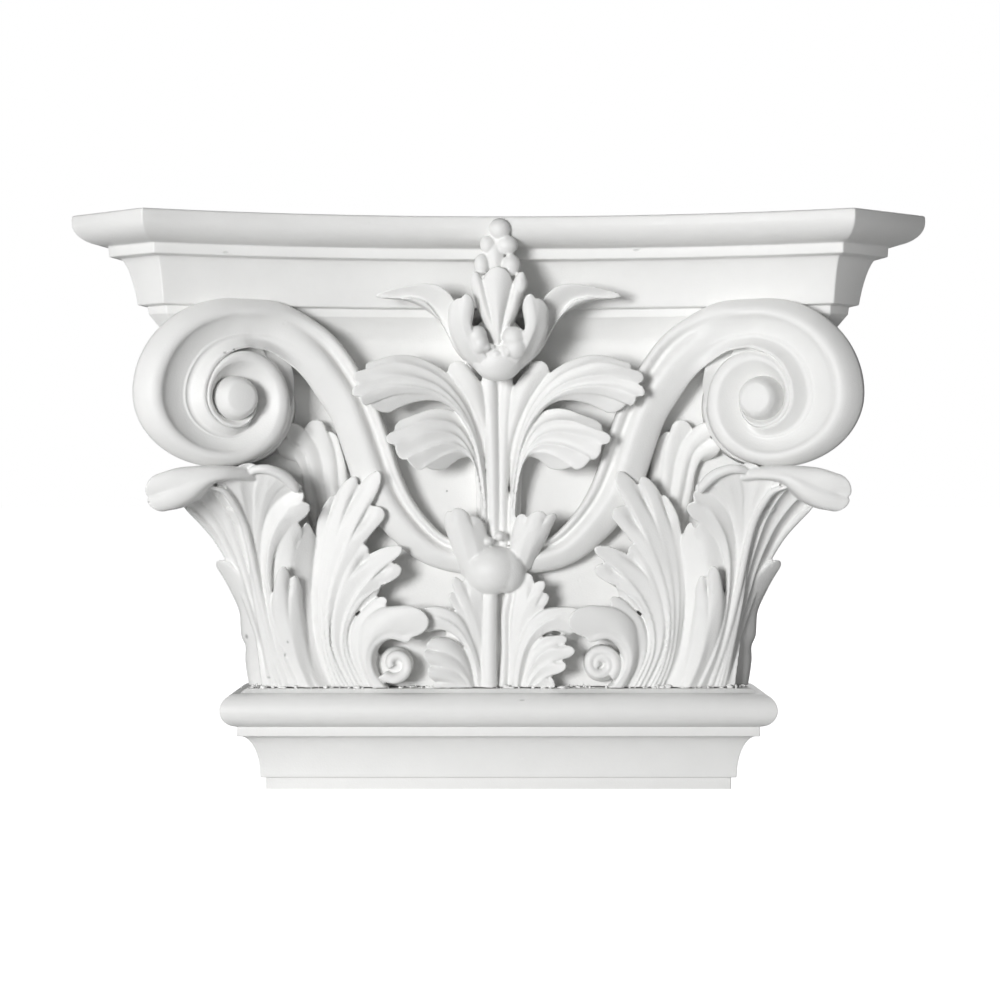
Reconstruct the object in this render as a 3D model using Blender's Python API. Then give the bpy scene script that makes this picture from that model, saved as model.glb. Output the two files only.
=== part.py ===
"""A cast plaster pilaster capital in the Composite manner, on a neck moulding that is a casting of its own.

Sizes are in millimetres and are turned to metres when a mesh is written. X runs to the right, Z is up and
the front faces -Y. A point's reach is its distance from the wall, and the origin is midway along the longest
reach, on the underside. The left half is modelled and mirrored.
"""

import math

import bmesh
import bpy
import numpy as np

METRES = 0.001

# Neck moulding
SHAFT_WIDTH = 200.0
SHAFT_DEPTH = 60.0
NECK_FILLET = 5.2
NECK_COVE_RISE = 18.4
NECK_COVE_FOOT = 2.2
NECK_BAND_OUT = 11.4
NECK_BAND_RISE = 4.2
ASTRAGAL_RADIUS = 7.1
ASTRAGAL_CENTRE_OUT = 11.2
NECK_CAP_OUT = 10.0
NECK_CAP_RISE = 1.8
NECK_COVE_LIP = 1.0
NECK_COVE_STEPS = 5
ASTRAGAL_STEPS = 8

# Joint between the two castings
JOINT_GAP = 0.4
FOOT_SPARE = 6.0
SMALLEST_BODY = 50.0

# Bell
BELL_HEIGHT = 150.0
BELL_FOOT_SIDE = 2.5
BELL_FOOT_FRONT = -2.0
BELL_FLARE_POWER = 2.6
BELL_RINGS = 5

# Abacus
ABACUS_WIDTH = 356.0
FRONT_CHORD = 288.6
FRONT_MIDDLE_REACH = 94.6
HORN_REACH = 130.0
HORN_CUT_ANGLE = math.radians(45)
SIDE_RECESS_ANGLE = math.radians(10)
FRONT_STEPS = 12
WALL_Y = HORN_REACH / 2
OVOLO_PROJECTION = 30.0
OVOLO_LIP = 3.0
OVOLO_EASE = 0.8
OVOLO_STEPS = 4
COVE_STEPS = 5
OVOLO_RISE = 13.3
OVOLO_FOOT = 17.0
UPPER_FILLET_RISE = 4.1
UPPER_FILLET_FOOT = 16.0
UNDERCUT_RISE = 1.9
COVE_HEAD = 12.0
COVE_FOOT = 3.8
COVE_RISE = 17.2
LOWER_FILLET_STEP = 0.7
LOWER_FILLET_RISE = 3.4
SLOPE_IN = 5.0
SLOPE_RISE = 8.0

# Volute
EYE_FROM_MIDDLE = 108.1
EYE_HEIGHT = 122.5
EYE_REACH = 100.0
VOLUTE_TURN = math.radians(25)
VOLUTE_THICKNESS = 27.0
CHANNEL_DEPTH = 7.0
EYE_RADIUS = 7.9
EYE_PROUD = 1.5
EYE_SECTION = ((1.0, -1.0), (0.86, 0.9), (0.5, EYE_PROUD))
ROUND_SIDES = 12
ARC_STEPS = 4
SPIRAL_EXTREMES = (
    (0.7, 42.0), (-44.6, 1.8), (-5.3, -28.7), (23.7, -2.6),
    (4.2, 19.8), (-14.3, 1.0), (-0.5, -12.5), (8.7, -0.7),
)
RIM_START = 2.6
RIM_OVERLAP = 0.15
RIM_EASE = 1.2
RIM_SECTION = ((0.0, -RIM_EASE), (0.12, 0.0), (0.9, 0.0), (1.0, -RIM_EASE))
DRUM_SUNK = 4.5
DRUM_QUARTERS = 3.7
DRUM_STEPS = 20
DRUM_SHARE = 0.985
RIM_WIDTHS = (6.6, 12.2, 7.5, 6.4, 6.2, 5.1, 4.0, 2.5)
BOLSTER_RADIUS = 29.0
BOLSTER_WAIST = 23.0
BOLSTER_OUTWARD = 7.0
BOLSTER_UP = 6.0
BOLSTER_SUNK = 19.0
BOLSTER_BEAD = 2.0

# Carved ornament: places are thousandths of half the abacus width and of the bell's height, and the third
# number of each is the millimetres in front of the ground plane
GROUND_REACH = 56.0
BAND_OUTER = (
    (-1, 394, 12), (-99, 414, 13), (-200, 522, 15), (-263, 717, 22),
    (-325, 887, 30), (-444, 1044, 39), (-595, 1096, 44),
)
BAND_INNER = (
    (-1, 312, 12), (-95, 326, 13), (-264, 434, 15), (-354, 598, 21),
    (-395, 759, 28), (-448, 856, 34), (-595, 950, 44),
)
BAND_STATIONS = 11
BAND_LAST_QUARTER = 3
BAND_FILLET = 0.25
VOLUTE_FILLET = 0.40
BAND_GROOVE = 3.2
BAND_TERRACE = 0.5
VOLUTE_TERRACE = 3.5
BAND_BLEND_LEAD = 3
BAND_BLEND_RUN = 5.0
BAND_KEEL = 1.0
KEEL_OVERLAP = 0.3

LEAF_STATIONS = 6
LEAF_WALL = 4.0
LEAF_SUNK = 3.0
LEAF_BELLY_AT = 0.6
LEAF_SECTION = ((-0.8, None), (-0.9, 0.0), (0.0, -1.0), (0.9, 0.0), (0.8, None))
KEEL_FOLLOWS = 0.05
GOUGE_DEPTH = 2.2
TIP_SHARE = 0.4

LEAF_BED = (
    (-575, -30), (-610, 300), (-560, 480), (-410, 560), (-330, 430), (-250, 300), (-150, 190), (-20, 150),
)
LEAF_BED_RELIEF = 6.0
STEM_BED = ((-30, 350), (-45, 400), (-75, 620), (-150, 790), (-100, 860), (-50, 1050))
STEM_BED_RELIEF = 9.0

FRONT_LEAF = (
    ((4.5, 6.5, 7.0), ((-395, -30, 11), (-440, 190, 15), (-431, 361, 17), (-390, 545, 22))),
    ((3.5, 6.0, 7.0), ((-372, -30, 10), (-420, 189, 13), (-405, 360, 15), (-330, 570, 22))),
    ((3.5, 6.5, 7.0), ((-345, -30, 10), (-400, 132, 13), (-385, 289, 15), (-345, 403, 17), (-292, 481, 20))),
    ((3.5, 6.5, 6.0), ((-315, -30, 10), (-372, 104, 13), (-370, 232, 15), (-325, 325, 18), (-248, 362, 19))),
    ((3.0, 6.0, 5.5), ((-292, -30, 9), (-340, 96, 12), (-335, 186, 14), (-265, 270, 17))),
    ((3.0, 6.5, 6.5), ((-268, -30, 9), (-305, 68, 12), (-290, 155, 15), (-195, 182, 19))),
)
MIDDLE_LEAF = (
    ((4.5, 7.0, 5.0), ((-430, -30, 10), (-478, 161, 13), (-494, 332, 15), (-500, 446, 18))),
)
CORNER_LEAF = (
    ((4.0, 7.0, 9.0), ((-548, -30, 9), (-582, 132, 12), (-600, 304, 17), (-640, 545, 37))),
    ((3.0, 6.5, 9.0), (
        (-565, -30, 6), (-603, 132, 9), (-630, 304, 17), (-715, 535, 42), (-785, 550, 50), (-812, 512, 46),
    )),
    ((3.0, 6.5, 8.5), ((-530, -30, 10), (-562, 133, 14), (-572, 304, 18), (-535, 575, 34))),
    ((3.0, 6.5, 7.0), ((-500, -30, 10), (-545, 133, 14), (-550, 289, 16), (-485, 505, 29))),
    ((3.0, 5.5, 5.0), ((-470, -30, 9), (-520, 110, 13), (-530, 220, 15), (-505, 350, 21))),
)
BACK_LEAF = (
    ((6.0, 12.0, 9.0), ((-371, 359, 6), (-405, 531, 9), (-435, 650, 12), (-490, 690, 16))),
)
DROOPING_LEAVES = (
    ((2.5, 10.0, 6.0), ((-30, 402, 8), (-42, 616, 12), (-100, 810, 18), (-200, 872, 23), (-318, 830, 24))),
    ((2.5, 9.5, 7.0), ((-28, 402, 8), (-46, 620, 13), (-105, 705, 19), (-180, 675, 22), (-258, 630, 20))),
    ((2.0, 4.5, 3.0), ((-20, 416, 7), (-28, 645, 10), (-55, 787, 13), (-99, 888, 16))),
)
SMALL_LEAVES = (
    ((4.0, 7.0, 7.0), ((-30, 350, 13), (-66, 415, 18), (-98, 470, 17))),
    ((2.5, 5.5, 6.0), ((-33, -30, 9), (-48, 131, 12), (-72, 230, 15), (-100, 270, 17))),
    ((2.5, 6.0, 7.0), ((-55, -30, 9), (-78, 110, 13), (-110, 180, 16), (-165, 190, 16))),
    ((2.5, 5.5, 6.0), ((-88, -30, 8), (-112, 55, 12), (-150, 85, 15))),
)
FLEURON = (
    ((4.0, 7.0, 2.5), ((-20, 900, 22), (-90, 1000, 28), (-165, 1085, 34), (-278, 1098, 38))),
    ((4.0, 8.0, 6.0), ((-14, 905, 25), (-56, 985, 33), (-76, 1080, 37))),
)
STEM = ((3.0, 3.6, 6.5), ((0, 400, 12), (0, 640, 15), (0, 960, 23)))
FOOT_STEM = ((3.5, 4.5, 4.0), ((-6, -30, 11), (-6, 130, 13), (-6, 300, 14)))
SCROLL_CENTRE = (-245, 75)
SCROLL_RELIEF = 15.0
SCROLL_RADIUS = 7.0
SCROLL_TUBE = 2.9
SCROLL_TURNS = (math.radians(-200), math.radians(130))
SCROLL_STEPS = 12
SCROLL_KEEL = 14.0
SCROLL_SECTION = ((-1.0, -0.5), (-0.4, 0.8), (0.4, 0.8), (1.0, -0.5))
BEAD_SUNK = 9.0
BEAD_RADII = (4.3, 4.3, 10.0)
FRUIT_CENTRE = (-4, 332)
FRUIT_RADII = (13.7, 10.9, 11.0)
FRUIT_RELIEF = 12.0
BUD_PLACE = (1085, 34)
BUD_RADII = (5.8, 12.0, 6.5)
BERRIES = (
    (4.1, 0, 1283, 37), (4.3, -22, 1238, 36), (5.0, -36, 1180, 36), (5.2, -36, 1110, 37),
)
ON_THE_MIDDLE = ("stem_", "leaf_bed", "berry_0", "bud", "fruit")
BERRY_STALK = ((4.0, 8.0, 3.0), ((0, 950, 24), (0, 1110, 34), (0, 1270, 35)))


def plaster():
    """The white cast plaster of both pieces."""
    material = bpy.data.materials.new("plaster")
    material.use_nodes = True
    shader = material.node_tree.nodes["Principled BSDF"]
    shader.inputs["Base Color"].default_value = (0.84, 0.84, 0.83, 1.0)
    shader.inputs["Roughness"].default_value = 0.55
    shader.inputs["Metallic"].default_value = 0.0
    return material


def loft(name, rings, collection, closed_ends=True):
    """A closed skin through equal rings of points, an array of rings by points by X, reach and Z."""
    rings = np.asarray(rings, float)
    count, sides, _ = rings.shape
    points = rings.reshape(-1, 3) * METRES
    points[:, 1] = WALL_Y * METRES - points[:, 1]
    faces = []
    for ring in range(count - 1):
        for side in range(sides):
            after = (side + 1) % sides
            low, high = ring * sides, (ring + 1) * sides
            faces.append((low + side, low + after, high + after, high + side))
    if closed_ends:
        faces.append(tuple(range(sides))[::-1])
        faces.append(tuple(range((count - 1) * sides, count * sides)))
    mesh = bpy.data.meshes.new(name)
    mesh.from_pydata([tuple(point) for point in points], [], faces)
    work = bmesh.new()
    work.from_mesh(mesh)
    bmesh.ops.remove_doubles(work, verts=work.verts, dist=1e-6)
    bmesh.ops.recalc_face_normals(work, faces=work.faces)
    work.to_mesh(mesh)
    work.free()
    made = bpy.data.objects.new(name, mesh)
    collection.objects.link(made)
    return made


def quarter_curve(start, end, steps, hollow):
    """Points of a quarter ellipse between two profile points, hollow for a cove and full for an ovolo."""
    found = []
    for step in range(1, steps):
        turn = math.pi / 2 * step / steps
        along, across = math.sin(turn), 1 - math.cos(turn)
        if hollow:
            along, across = 1 - math.cos(turn), math.sin(turn)
        found.append((start[0] + (end[0] - start[0]) * along, start[1] + (end[1] - start[1]) * across))
    return found


def neck_profile():
    """Outward distance and height of each point of the neck moulding, from the bottom up."""
    cove_top = NECK_FILLET + NECK_COVE_RISE
    band_top = cove_top + NECK_BAND_RISE
    cap_foot = band_top + 2 * ASTRAGAL_RADIUS
    points = [(0.0, 0.0), (0.0, NECK_FILLET), (NECK_COVE_FOOT, NECK_FILLET)]
    cove_end = (NECK_BAND_OUT - NECK_COVE_LIP, cove_top)
    points += quarter_curve((NECK_COVE_FOOT, NECK_FILLET), cove_end, NECK_COVE_STEPS, True)
    points += [cove_end, (NECK_BAND_OUT, cove_top), (NECK_BAND_OUT, band_top)]
    for step in range(1, ASTRAGAL_STEPS):
        turn = math.pi * step / ASTRAGAL_STEPS
        out = ASTRAGAL_CENTRE_OUT + ASTRAGAL_RADIUS * math.sin(turn)
        points.append((out, band_top + ASTRAGAL_RADIUS * (1 - math.cos(turn))))
    points += [(NECK_CAP_OUT, cap_foot), (NECK_CAP_OUT, cap_foot + NECK_CAP_RISE)]
    return points


def neck_height():
    """Height of the neck moulding's top."""
    return neck_profile()[-1][1]


def bell_foot():
    """Height of the capital's underside."""
    return neck_height() + JOINT_GAP


def neck_ring(out, height):
    """Plan of the neck moulding at one level, flat against the wall."""
    side, front = SHAFT_WIDTH / 2 + out, SHAFT_DEPTH + out
    return [(-side, 0, height), (-side, front, height), (side, front, height), (side, 0, height)]


def abacus_plan(inward):
    """Left half of the abacus plan, as X and reach from the wall to the middle of the front.

    The front is an arc hollow towards the viewer. A line cuts the horn, and the side runs back to the wall.
    """
    rise = HORN_REACH - FRONT_MIDDLE_REACH
    radius = ((FRONT_CHORD / 2) ** 2 + rise**2) / (2 * rise)
    centre = np.array([0.0, FRONT_MIDDLE_REACH + radius])
    corner = np.array([-FRONT_CHORD / 2, HORN_REACH])
    cut_normal = np.array([-math.sin(HORN_CUT_ANGLE), math.cos(HORN_CUT_ANGLE)])
    cut_along = np.array([math.cos(HORN_CUT_ANGLE), math.sin(HORN_CUT_ANGLE)])
    tip_run = (ABACUS_WIDTH - FRONT_CHORD) / 2
    tip = corner - cut_along * tip_run / math.cos(HORN_CUT_ANGLE)
    start = corner - cut_normal * inward
    offset = start - centre
    middle_term = float(offset @ cut_along)
    rest = float(offset @ offset) - (radius + inward) ** 2
    slide = -middle_term - math.sqrt(middle_term**2 - rest)
    if abs(slide) > radius:
        slide = -middle_term + math.sqrt(middle_term**2 - rest)
    front_corner = start + cut_along * slide
    side_normal = np.array([-math.cos(SIDE_RECESS_ANGLE), -math.sin(SIDE_RECESS_ANGLE)])
    normals = np.array([cut_normal, side_normal])
    outer_corner = np.linalg.solve(normals, normals @ tip - inward)
    side_slope = math.tan(SIDE_RECESS_ANGLE)
    at_wall = np.array([outer_corner[0] + outer_corner[1] * side_slope, 0.0])
    half_steps = FRONT_STEPS // 2
    sweep = math.asin(-front_corner[0] / (radius + inward))
    turns = np.linspace(sweep, 0.0, half_steps + 1)
    arc = centre + (radius + inward) * np.column_stack([-np.sin(turns), -np.cos(turns)])
    return np.vstack([at_wall, outer_corner, arc])


def bell_foot_plan():
    """Left half of the bell's plan at its foot, with as many points as the abacus plan has."""
    side = SHAFT_WIDTH / 2 + BELL_FOOT_SIDE
    front = SHAFT_DEPTH + BELL_FOOT_FRONT
    across = np.linspace(-side + BELL_FOOT_SIDE, 0.0, FRONT_STEPS // 2 + 1)
    line = np.column_stack([across, np.full(len(across), front)])
    return np.vstack([(-side, 0.0), (-side, front - BELL_FOOT_SIDE), line])


def full_ring(half, height):
    """A whole closed ring at one height, made from its left half and the mirror image of that."""
    right = half[-2::-1] * (-1.0, 1.0)
    plan = np.vstack([half, right])
    return np.column_stack([plan, np.full(len(plan), height)])


def abacus_profile():
    """Inward distance from the ovolo's nose and height below the top, from the bell's lip up."""
    nose = OVOLO_PROJECTION
    points = [(OVOLO_EASE, 0.0), (0.0, -OVOLO_EASE), (0.0, -OVOLO_LIP)]
    points += quarter_curve((0.0, -OVOLO_LIP), (nose - OVOLO_FOOT, -OVOLO_RISE), OVOLO_STEPS, True)
    level = -OVOLO_RISE
    points.append((nose - OVOLO_FOOT, level))
    level -= UPPER_FILLET_RISE
    points.append((nose - UPPER_FILLET_FOOT, level))
    level -= UNDERCUT_RISE
    points.append((nose - COVE_HEAD, level))
    cove_end = (nose - COVE_FOOT, level - COVE_RISE)
    points += quarter_curve((nose - COVE_HEAD, level), cove_end, COVE_STEPS, False)
    level -= COVE_RISE
    points += [(nose - COVE_FOOT, level), (nose - LOWER_FILLET_STEP, level - LOWER_FILLET_STEP)]
    level -= LOWER_FILLET_RISE + LOWER_FILLET_STEP
    points.append((nose, level))
    points.append((nose + SLOPE_IN, level - SLOPE_RISE))
    return points[::-1]


def bell_and_abacus(collection):
    """The plain block that carries all the carving, one loft from the joint to the top."""
    profile = abacus_profile()
    lip_height = bell_foot() + BELL_HEIGHT
    top = lip_height - profile[0][1]
    lip_plan = abacus_plan(profile[0][0])
    foot = bell_foot_plan()
    rings = [full_ring(foot, bell_foot() - FOOT_SPARE)]
    for step in range(1, BELL_RINGS):
        share = step / BELL_RINGS
        flare = share**BELL_FLARE_POWER
        plan = foot * (1 - flare) + lip_plan * flare
        rings.append(full_ring(plan, bell_foot() + BELL_HEIGHT * share))
    for inward, below in profile:
        rings.append(full_ring(abacus_plan(inward), top + below))
    return loft("bell_block", rings, collection)


def place(across, up, relief):
    """A carved point's X, reach and Z from its thousandths and its relief."""
    return (across * ABACUS_WIDTH / 2000, GROUND_REACH + relief, bell_foot() + up * BELL_HEIGHT / 1000)


def smooth_path(points, stations):
    """A centripetal curve through hand-placed points, read at evenly spread stations."""
    points = np.asarray(points, float)
    knots = np.concatenate([[0.0], np.cumsum(np.sqrt(np.linalg.norm(np.diff(points, axis=0), axis=1)))])
    slopes = np.gradient(points, knots, axis=0)
    where = np.linspace(knots[0], knots[-1], stations)
    piece = np.clip(np.searchsorted(knots, where, side="right") - 1, 0, len(knots) - 2)
    span = (knots[piece + 1] - knots[piece])[:, None]
    t = ((where - knots[piece])[:, None]) / span
    return (
        (2 * t**3 - 3 * t**2 + 1) * points[piece]
        + (t**3 - 2 * t**2 + t) * span * slopes[piece]
        + (3 * t**2 - 2 * t**3) * points[piece + 1]
        + (t**3 - t**2) * span * slopes[piece + 1]
    )


def unit(vectors):
    """Each row made one long."""
    return vectors / np.linalg.norm(vectors, axis=-1, keepdims=True)


def lobe(name, widths, route, collection):
    """One lobe of a leaf: a hollow gouge with raised edges, carried along its route and sunk in the bell."""
    path = smooth_path([place(*point) for point in route], LEAF_STATIONS)
    along = unit(np.gradient(path, axis=0))
    outward = np.array([0.0, 1.0, 0.0]) - along * along[:, 1:2]
    outward = unit(outward)
    across = np.cross(along, outward)
    share = np.linspace(0.0, 1.0, LEAF_STATIONS)
    half_width = np.interp(share, (0.0, LEAF_BELLY_AT, 1.0), widths)
    half_width[-1] *= TIP_SHARE
    depth = path[:, 1] - GROUND_REACH
    rings = []
    for side, gouge in LEAF_SECTION:
        ring = path + across * (half_width * side)[:, None]
        if gouge is None:
            ring = ring - outward * LEAF_WALL
            ring[:, 1] = np.minimum(ring[:, 1], GROUND_REACH - LEAF_SUNK + depth * KEEL_FOLLOWS)
        else:
            ring = ring + outward * GOUGE_DEPTH * gouge
        rings.append(ring)
    return loft(name, np.stack(rings, axis=1), collection)


def turned_plane(places):
    """Points of the volute's face: across and up in its turned plane, then straight out from the wall."""
    places = np.asarray(places, float)
    x = -EYE_FROM_MIDDLE + places[:, 0] * math.cos(VOLUTE_TURN)
    reach = EYE_REACH - places[:, 0] * math.sin(VOLUTE_TURN) + places[:, 2]
    z = bell_foot() + EYE_HEIGHT + places[:, 1]
    return np.column_stack([x, reach, z])


def spiral(quarters):
    """The volute's outer edge as quarter ellipses between its top, left, bottom and right extremes."""
    extremes = np.array(SPIRAL_EXTREMES)
    index = np.clip(quarters.astype(int), 0, len(extremes) - 2)
    turn = (quarters - index) * math.pi / 2
    here, after = extremes[index], extremes[index + 1]
    upright = index % 2 == 0
    centre = np.where(upright[:, None], np.column_stack([here[:, 0], after[:, 1]]),
                      np.column_stack([after[:, 0], here[:, 1]]))
    return centre + (here - centre) * np.cos(turn)[:, None] + (after - centre) * np.sin(turn)[:, None]


def spiral_rim(collection):
    """The raised fillet that runs round the volute and narrows towards the eye."""
    last = len(SPIRAL_EXTREMES) - 1
    quarters = np.linspace(RIM_START, last, round((last - RIM_START) * ARC_STEPS) + 1)
    outer = spiral(quarters)
    along = unit(np.gradient(outer, axis=0))
    inwards = np.column_stack([-along[:, 1], along[:, 0]])
    width = np.interp(quarters, np.arange(len(RIM_WIDTHS)), RIM_WIDTHS)
    keel = -CHANNEL_DEPTH - DRUM_SUNK
    rings = []
    for share, out in ((0.0, keel), *RIM_SECTION, (1.0, keel)):
        edge = outer + inwards * (width * share - RIM_OVERLAP)[:, None]
        rings.append(turned_plane(np.column_stack([edge, np.full(len(edge), out + RIM_OVERLAP)])))
    return loft("volute_rim", np.stack(rings, axis=1), collection)


def volute_drum(collection):
    """The volute's body behind its rim, drawn straight back from the floor of the channel."""
    edge = spiral(np.linspace(0.0, DRUM_QUARTERS, DRUM_STEPS)) * DRUM_SHARE
    rings = [
        turned_plane(np.column_stack([edge, np.full(len(edge), out)]))
        for out in (-VOLUTE_THICKNESS, -CHANNEL_DEPTH)
    ]
    return loft("volute_drum", rings, collection)


def volute_eye(collection):
    """The eye, a round button with a soft edge."""
    turns = np.linspace(0.0, 2 * math.pi, ROUND_SIDES, endpoint=False)
    rings = []
    for share, out in ((1.0, -CHANNEL_DEPTH - DRUM_SUNK), *EYE_SECTION):
        circle = np.column_stack([np.cos(turns), np.sin(turns)]) * EYE_RADIUS * share
        rings.append(turned_plane(np.column_stack([circle, np.full(len(turns), out)])))
    return loft("volute_eye", rings, collection)


def bolster(collection):
    """The waisted roll that carries the volute back to the wall."""
    turns = np.linspace(0.0, 2 * math.pi, ROUND_SIDES, endpoint=False)
    x = -EYE_FROM_MIDDLE - BOLSTER_OUTWARD
    z = bell_foot() + EYE_HEIGHT + BOLSTER_UP
    front = EYE_REACH - BOLSTER_SUNK
    rolled = BOLSTER_RADIUS - BOLSTER_BEAD
    radii = (rolled, rolled, BOLSTER_WAIST, rolled, BOLSTER_RADIUS)
    rings = []
    for share, radius in zip((0.0, 0.15, 0.5, 0.85, 1.0), radii):
        level = np.full(len(turns), front * share)
        rings.append(np.column_stack([x + radius * np.cos(turns), level, z + radius * np.sin(turns)]))
    return loft("volute_bolster", rings, collection)


def band_edges():
    """Outer and inner edge of the scroll band and the depth of its keel, station by station.

    The band climbs from behind the fruit, then its outer edge is the volute's, and its inner edge is the
    next turn's.
    """
    outer = smooth_path([place(*point) for point in BAND_OUTER], BAND_STATIONS)[:-1]
    inner = smooth_path([place(*point) for point in BAND_INNER], BAND_STATIONS)[:-1]
    keel = GROUND_REACH - outer[:, 1] + BAND_KEEL
    quarters = np.arange(ARC_STEPS * BAND_LAST_QUARTER + 1) / ARC_STEPS
    flat = np.zeros(len(quarters))
    outer = np.vstack([outer, turned_plane(np.column_stack([spiral(quarters), flat]))])
    inner = np.vstack([inner, turned_plane(np.column_stack([spiral(quarters + 4.0), flat]))])
    keel = np.concatenate([keel, flat - CHANNEL_DEPTH - DRUM_SUNK + KEEL_OVERLAP])
    return outer, inner, keel


def scroll_band(collection):
    """The band with its fillet, groove and terrace, which rises from the fruit and turns into the volute."""
    outer, inner, keel = band_edges()
    stations = len(outer)
    volute_share = np.clip((np.arange(stations) - BAND_STATIONS + BAND_BLEND_LEAD) / BAND_BLEND_RUN, 0.0, 1.0)
    fillet = BAND_FILLET + (VOLUTE_FILLET - BAND_FILLET) * volute_share
    groove = BAND_GROOVE + (CHANNEL_DEPTH - BAND_KEEL - BAND_GROOVE) * volute_share
    terrace = BAND_TERRACE + (VOLUTE_TERRACE - BAND_TERRACE) * volute_share
    level = np.zeros(stations)
    section = (
        (level, keel), (level, level - RIM_EASE), (level + 0.06, level), (fillet, level),
        (fillet + 0.04, -groove), (fillet + 0.26, -groove), (fillet + 0.32, -terrace),
        (level + 0.95, -terrace), (level + 1.0, -terrace - RIM_EASE), (level + 1.0, keel),
    )
    rings = []
    for share, out in section:
        forward = np.column_stack([level, out, level])
        rings.append(outer + (inner - outer) * share[:, None] + forward)
    return loft("scroll_band", np.stack(rings, axis=1), collection)


def leaf_scroll(collection):
    """The curled tip at the foot of the front leaf: a ring of tube round a bead."""
    x, reach, z = place(*SCROLL_CENTRE, SCROLL_RELIEF)
    rings = []
    for turn in np.linspace(*SCROLL_TURNS, SCROLL_STEPS):
        centre = np.array([x + SCROLL_RADIUS * math.cos(turn), reach, z + SCROLL_RADIUS * math.sin(turn)])
        spoke = np.array([math.cos(turn), 0.0, math.sin(turn)])
        ring = []
        for side, out in ((-1.0, -SCROLL_KEEL), *SCROLL_SECTION, (1.0, -SCROLL_KEEL)):
            ring.append(centre + spoke * side * SCROLL_TUBE + np.array([0.0, out, 0.0]))
        rings.append(ring)
    return loft("leaf_scroll", rings, collection)


def bed(name, outline, relief, collection):
    """The low ground of plaster under both halves of a group of leaves, which closes the pockets."""
    left = [place(across, up, relief) for across, up in outline]
    fronts = np.array(left + [(-x, reach, z) for x, reach, z in reversed(left)])
    backs = fronts * (1.0, 0.0, 1.0) + (0.0, GROUND_REACH / 2, 0.0)
    return loft(name, [backs, fronts], collection)


def ball(name, centre, radii, collection, sides=10, levels=7):
    """A closed egg or bead with its poles on the axis from the wall."""
    turns = np.linspace(0.0, 2 * math.pi, sides, endpoint=False)
    rings = []
    for level in range(levels):
        tilt = math.pi * (level + 0.5) / levels
        rings.append(np.column_stack([
            centre[0] + radii[0] * math.sin(tilt) * np.cos(turns),
            np.full(sides, centre[1] - radii[2] * math.cos(tilt)),
            centre[2] + radii[1] * math.sin(tilt) * np.sin(turns),
        ]))
    return loft(name, rings, collection)


def berries(collection):
    """The cluster of berries at the top of the fleuron, each a bead sunk a little in the stalk."""
    for index, (radius, across, up, relief) in enumerate(BERRIES):
        ball(f"berry_{index}", place(across, up, relief), (radius, radius * 1.1, radius), collection, 7, 4)


def twin(shape, collection):
    """The mirror image of a shape of the left half, on the right."""
    mesh = shape.data.copy()
    work = bmesh.new()
    work.from_mesh(mesh)
    bmesh.ops.scale(work, vec=(-1.0, 1.0, 1.0), verts=work.verts)
    bmesh.ops.reverse_faces(work, faces=work.faces)
    work.to_mesh(mesh)
    work.free()
    made = bpy.data.objects.new(shape.name + "_right", mesh)
    made.hide_render = True
    made.display_type = "WIRE"
    collection.objects.link(made)


def carve(collection):
    """Every carved piece of the left half and of the middle."""
    groups = {
        "front_leaf": FRONT_LEAF, "middle_leaf": MIDDLE_LEAF, "corner_leaf": CORNER_LEAF,
        "back_leaf": BACK_LEAF, "drooping_leaf": DROOPING_LEAVES, "small_leaf": SMALL_LEAVES,
        "fleuron": FLEURON, "stem": (STEM, FOOT_STEM, BERRY_STALK),
    }
    for name, lobes in groups.items():
        for index, (widths, route) in enumerate(lobes):
            lobe(f"{name}_{index}", widths, route, collection)
    bed("leaf_bed", LEAF_BED, LEAF_BED_RELIEF, collection)
    bed("stem_bed", STEM_BED, STEM_BED_RELIEF, collection)
    spiral_rim(collection)
    volute_drum(collection)
    volute_eye(collection)
    bolster(collection)
    scroll_band(collection)
    leaf_scroll(collection)
    x, reach, z = place(*SCROLL_CENTRE, SCROLL_RELIEF)
    ball("scroll_bead", (x, reach - BEAD_SUNK, z), BEAD_RADII, collection, 7, 4)
    ball("bud", place(0, *BUD_PLACE), BUD_RADII, collection, 7, 5)
    ball("fruit", place(*FRUIT_CENTRE, FRUIT_RELIEF), FRUIT_RADII, collection, 12, 7)
    berries(collection)


def island_volume(faces):
    """Volume enclosed by a closed set of faces, negative for a sealed pocket."""
    volume = 0.0
    for face in faces:
        corners = [vertex.co for vertex in face.verts]
        for second, third in zip(corners[1:], corners[2:]):
            volume += corners[0].dot(second.cross(third)) / 6
    return volume


def keep_one_body(made):
    """Applies the joins, then removes the crumbs and pinholes that crossing leaves leave behind."""
    bpy.context.view_layer.update()
    graph = bpy.context.evaluated_depsgraph_get()
    joined = bpy.data.meshes.new_from_object(made.evaluated_get(graph))
    work = bmesh.new()
    work.from_mesh(joined)
    bmesh.ops.triangulate(work, faces=work.faces)
    waiting = set(work.verts)
    while waiting:
        island = set()
        front = [waiting.pop()]
        while front:
            vertex = front.pop()
            island.add(vertex)
            for edge in vertex.link_edges:
                other = edge.other_vert(vertex)
                if other in waiting:
                    waiting.remove(other)
                    front.append(other)
        faces = {face for vertex in island for face in vertex.link_faces}
        if island_volume(faces) < SMALLEST_BODY * METRES**3:
            bmesh.ops.delete(work, geom=list(island), context="VERTS")
    work.to_mesh(joined)
    work.free()
    made.modifiers.clear()
    made.data = joined


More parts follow.
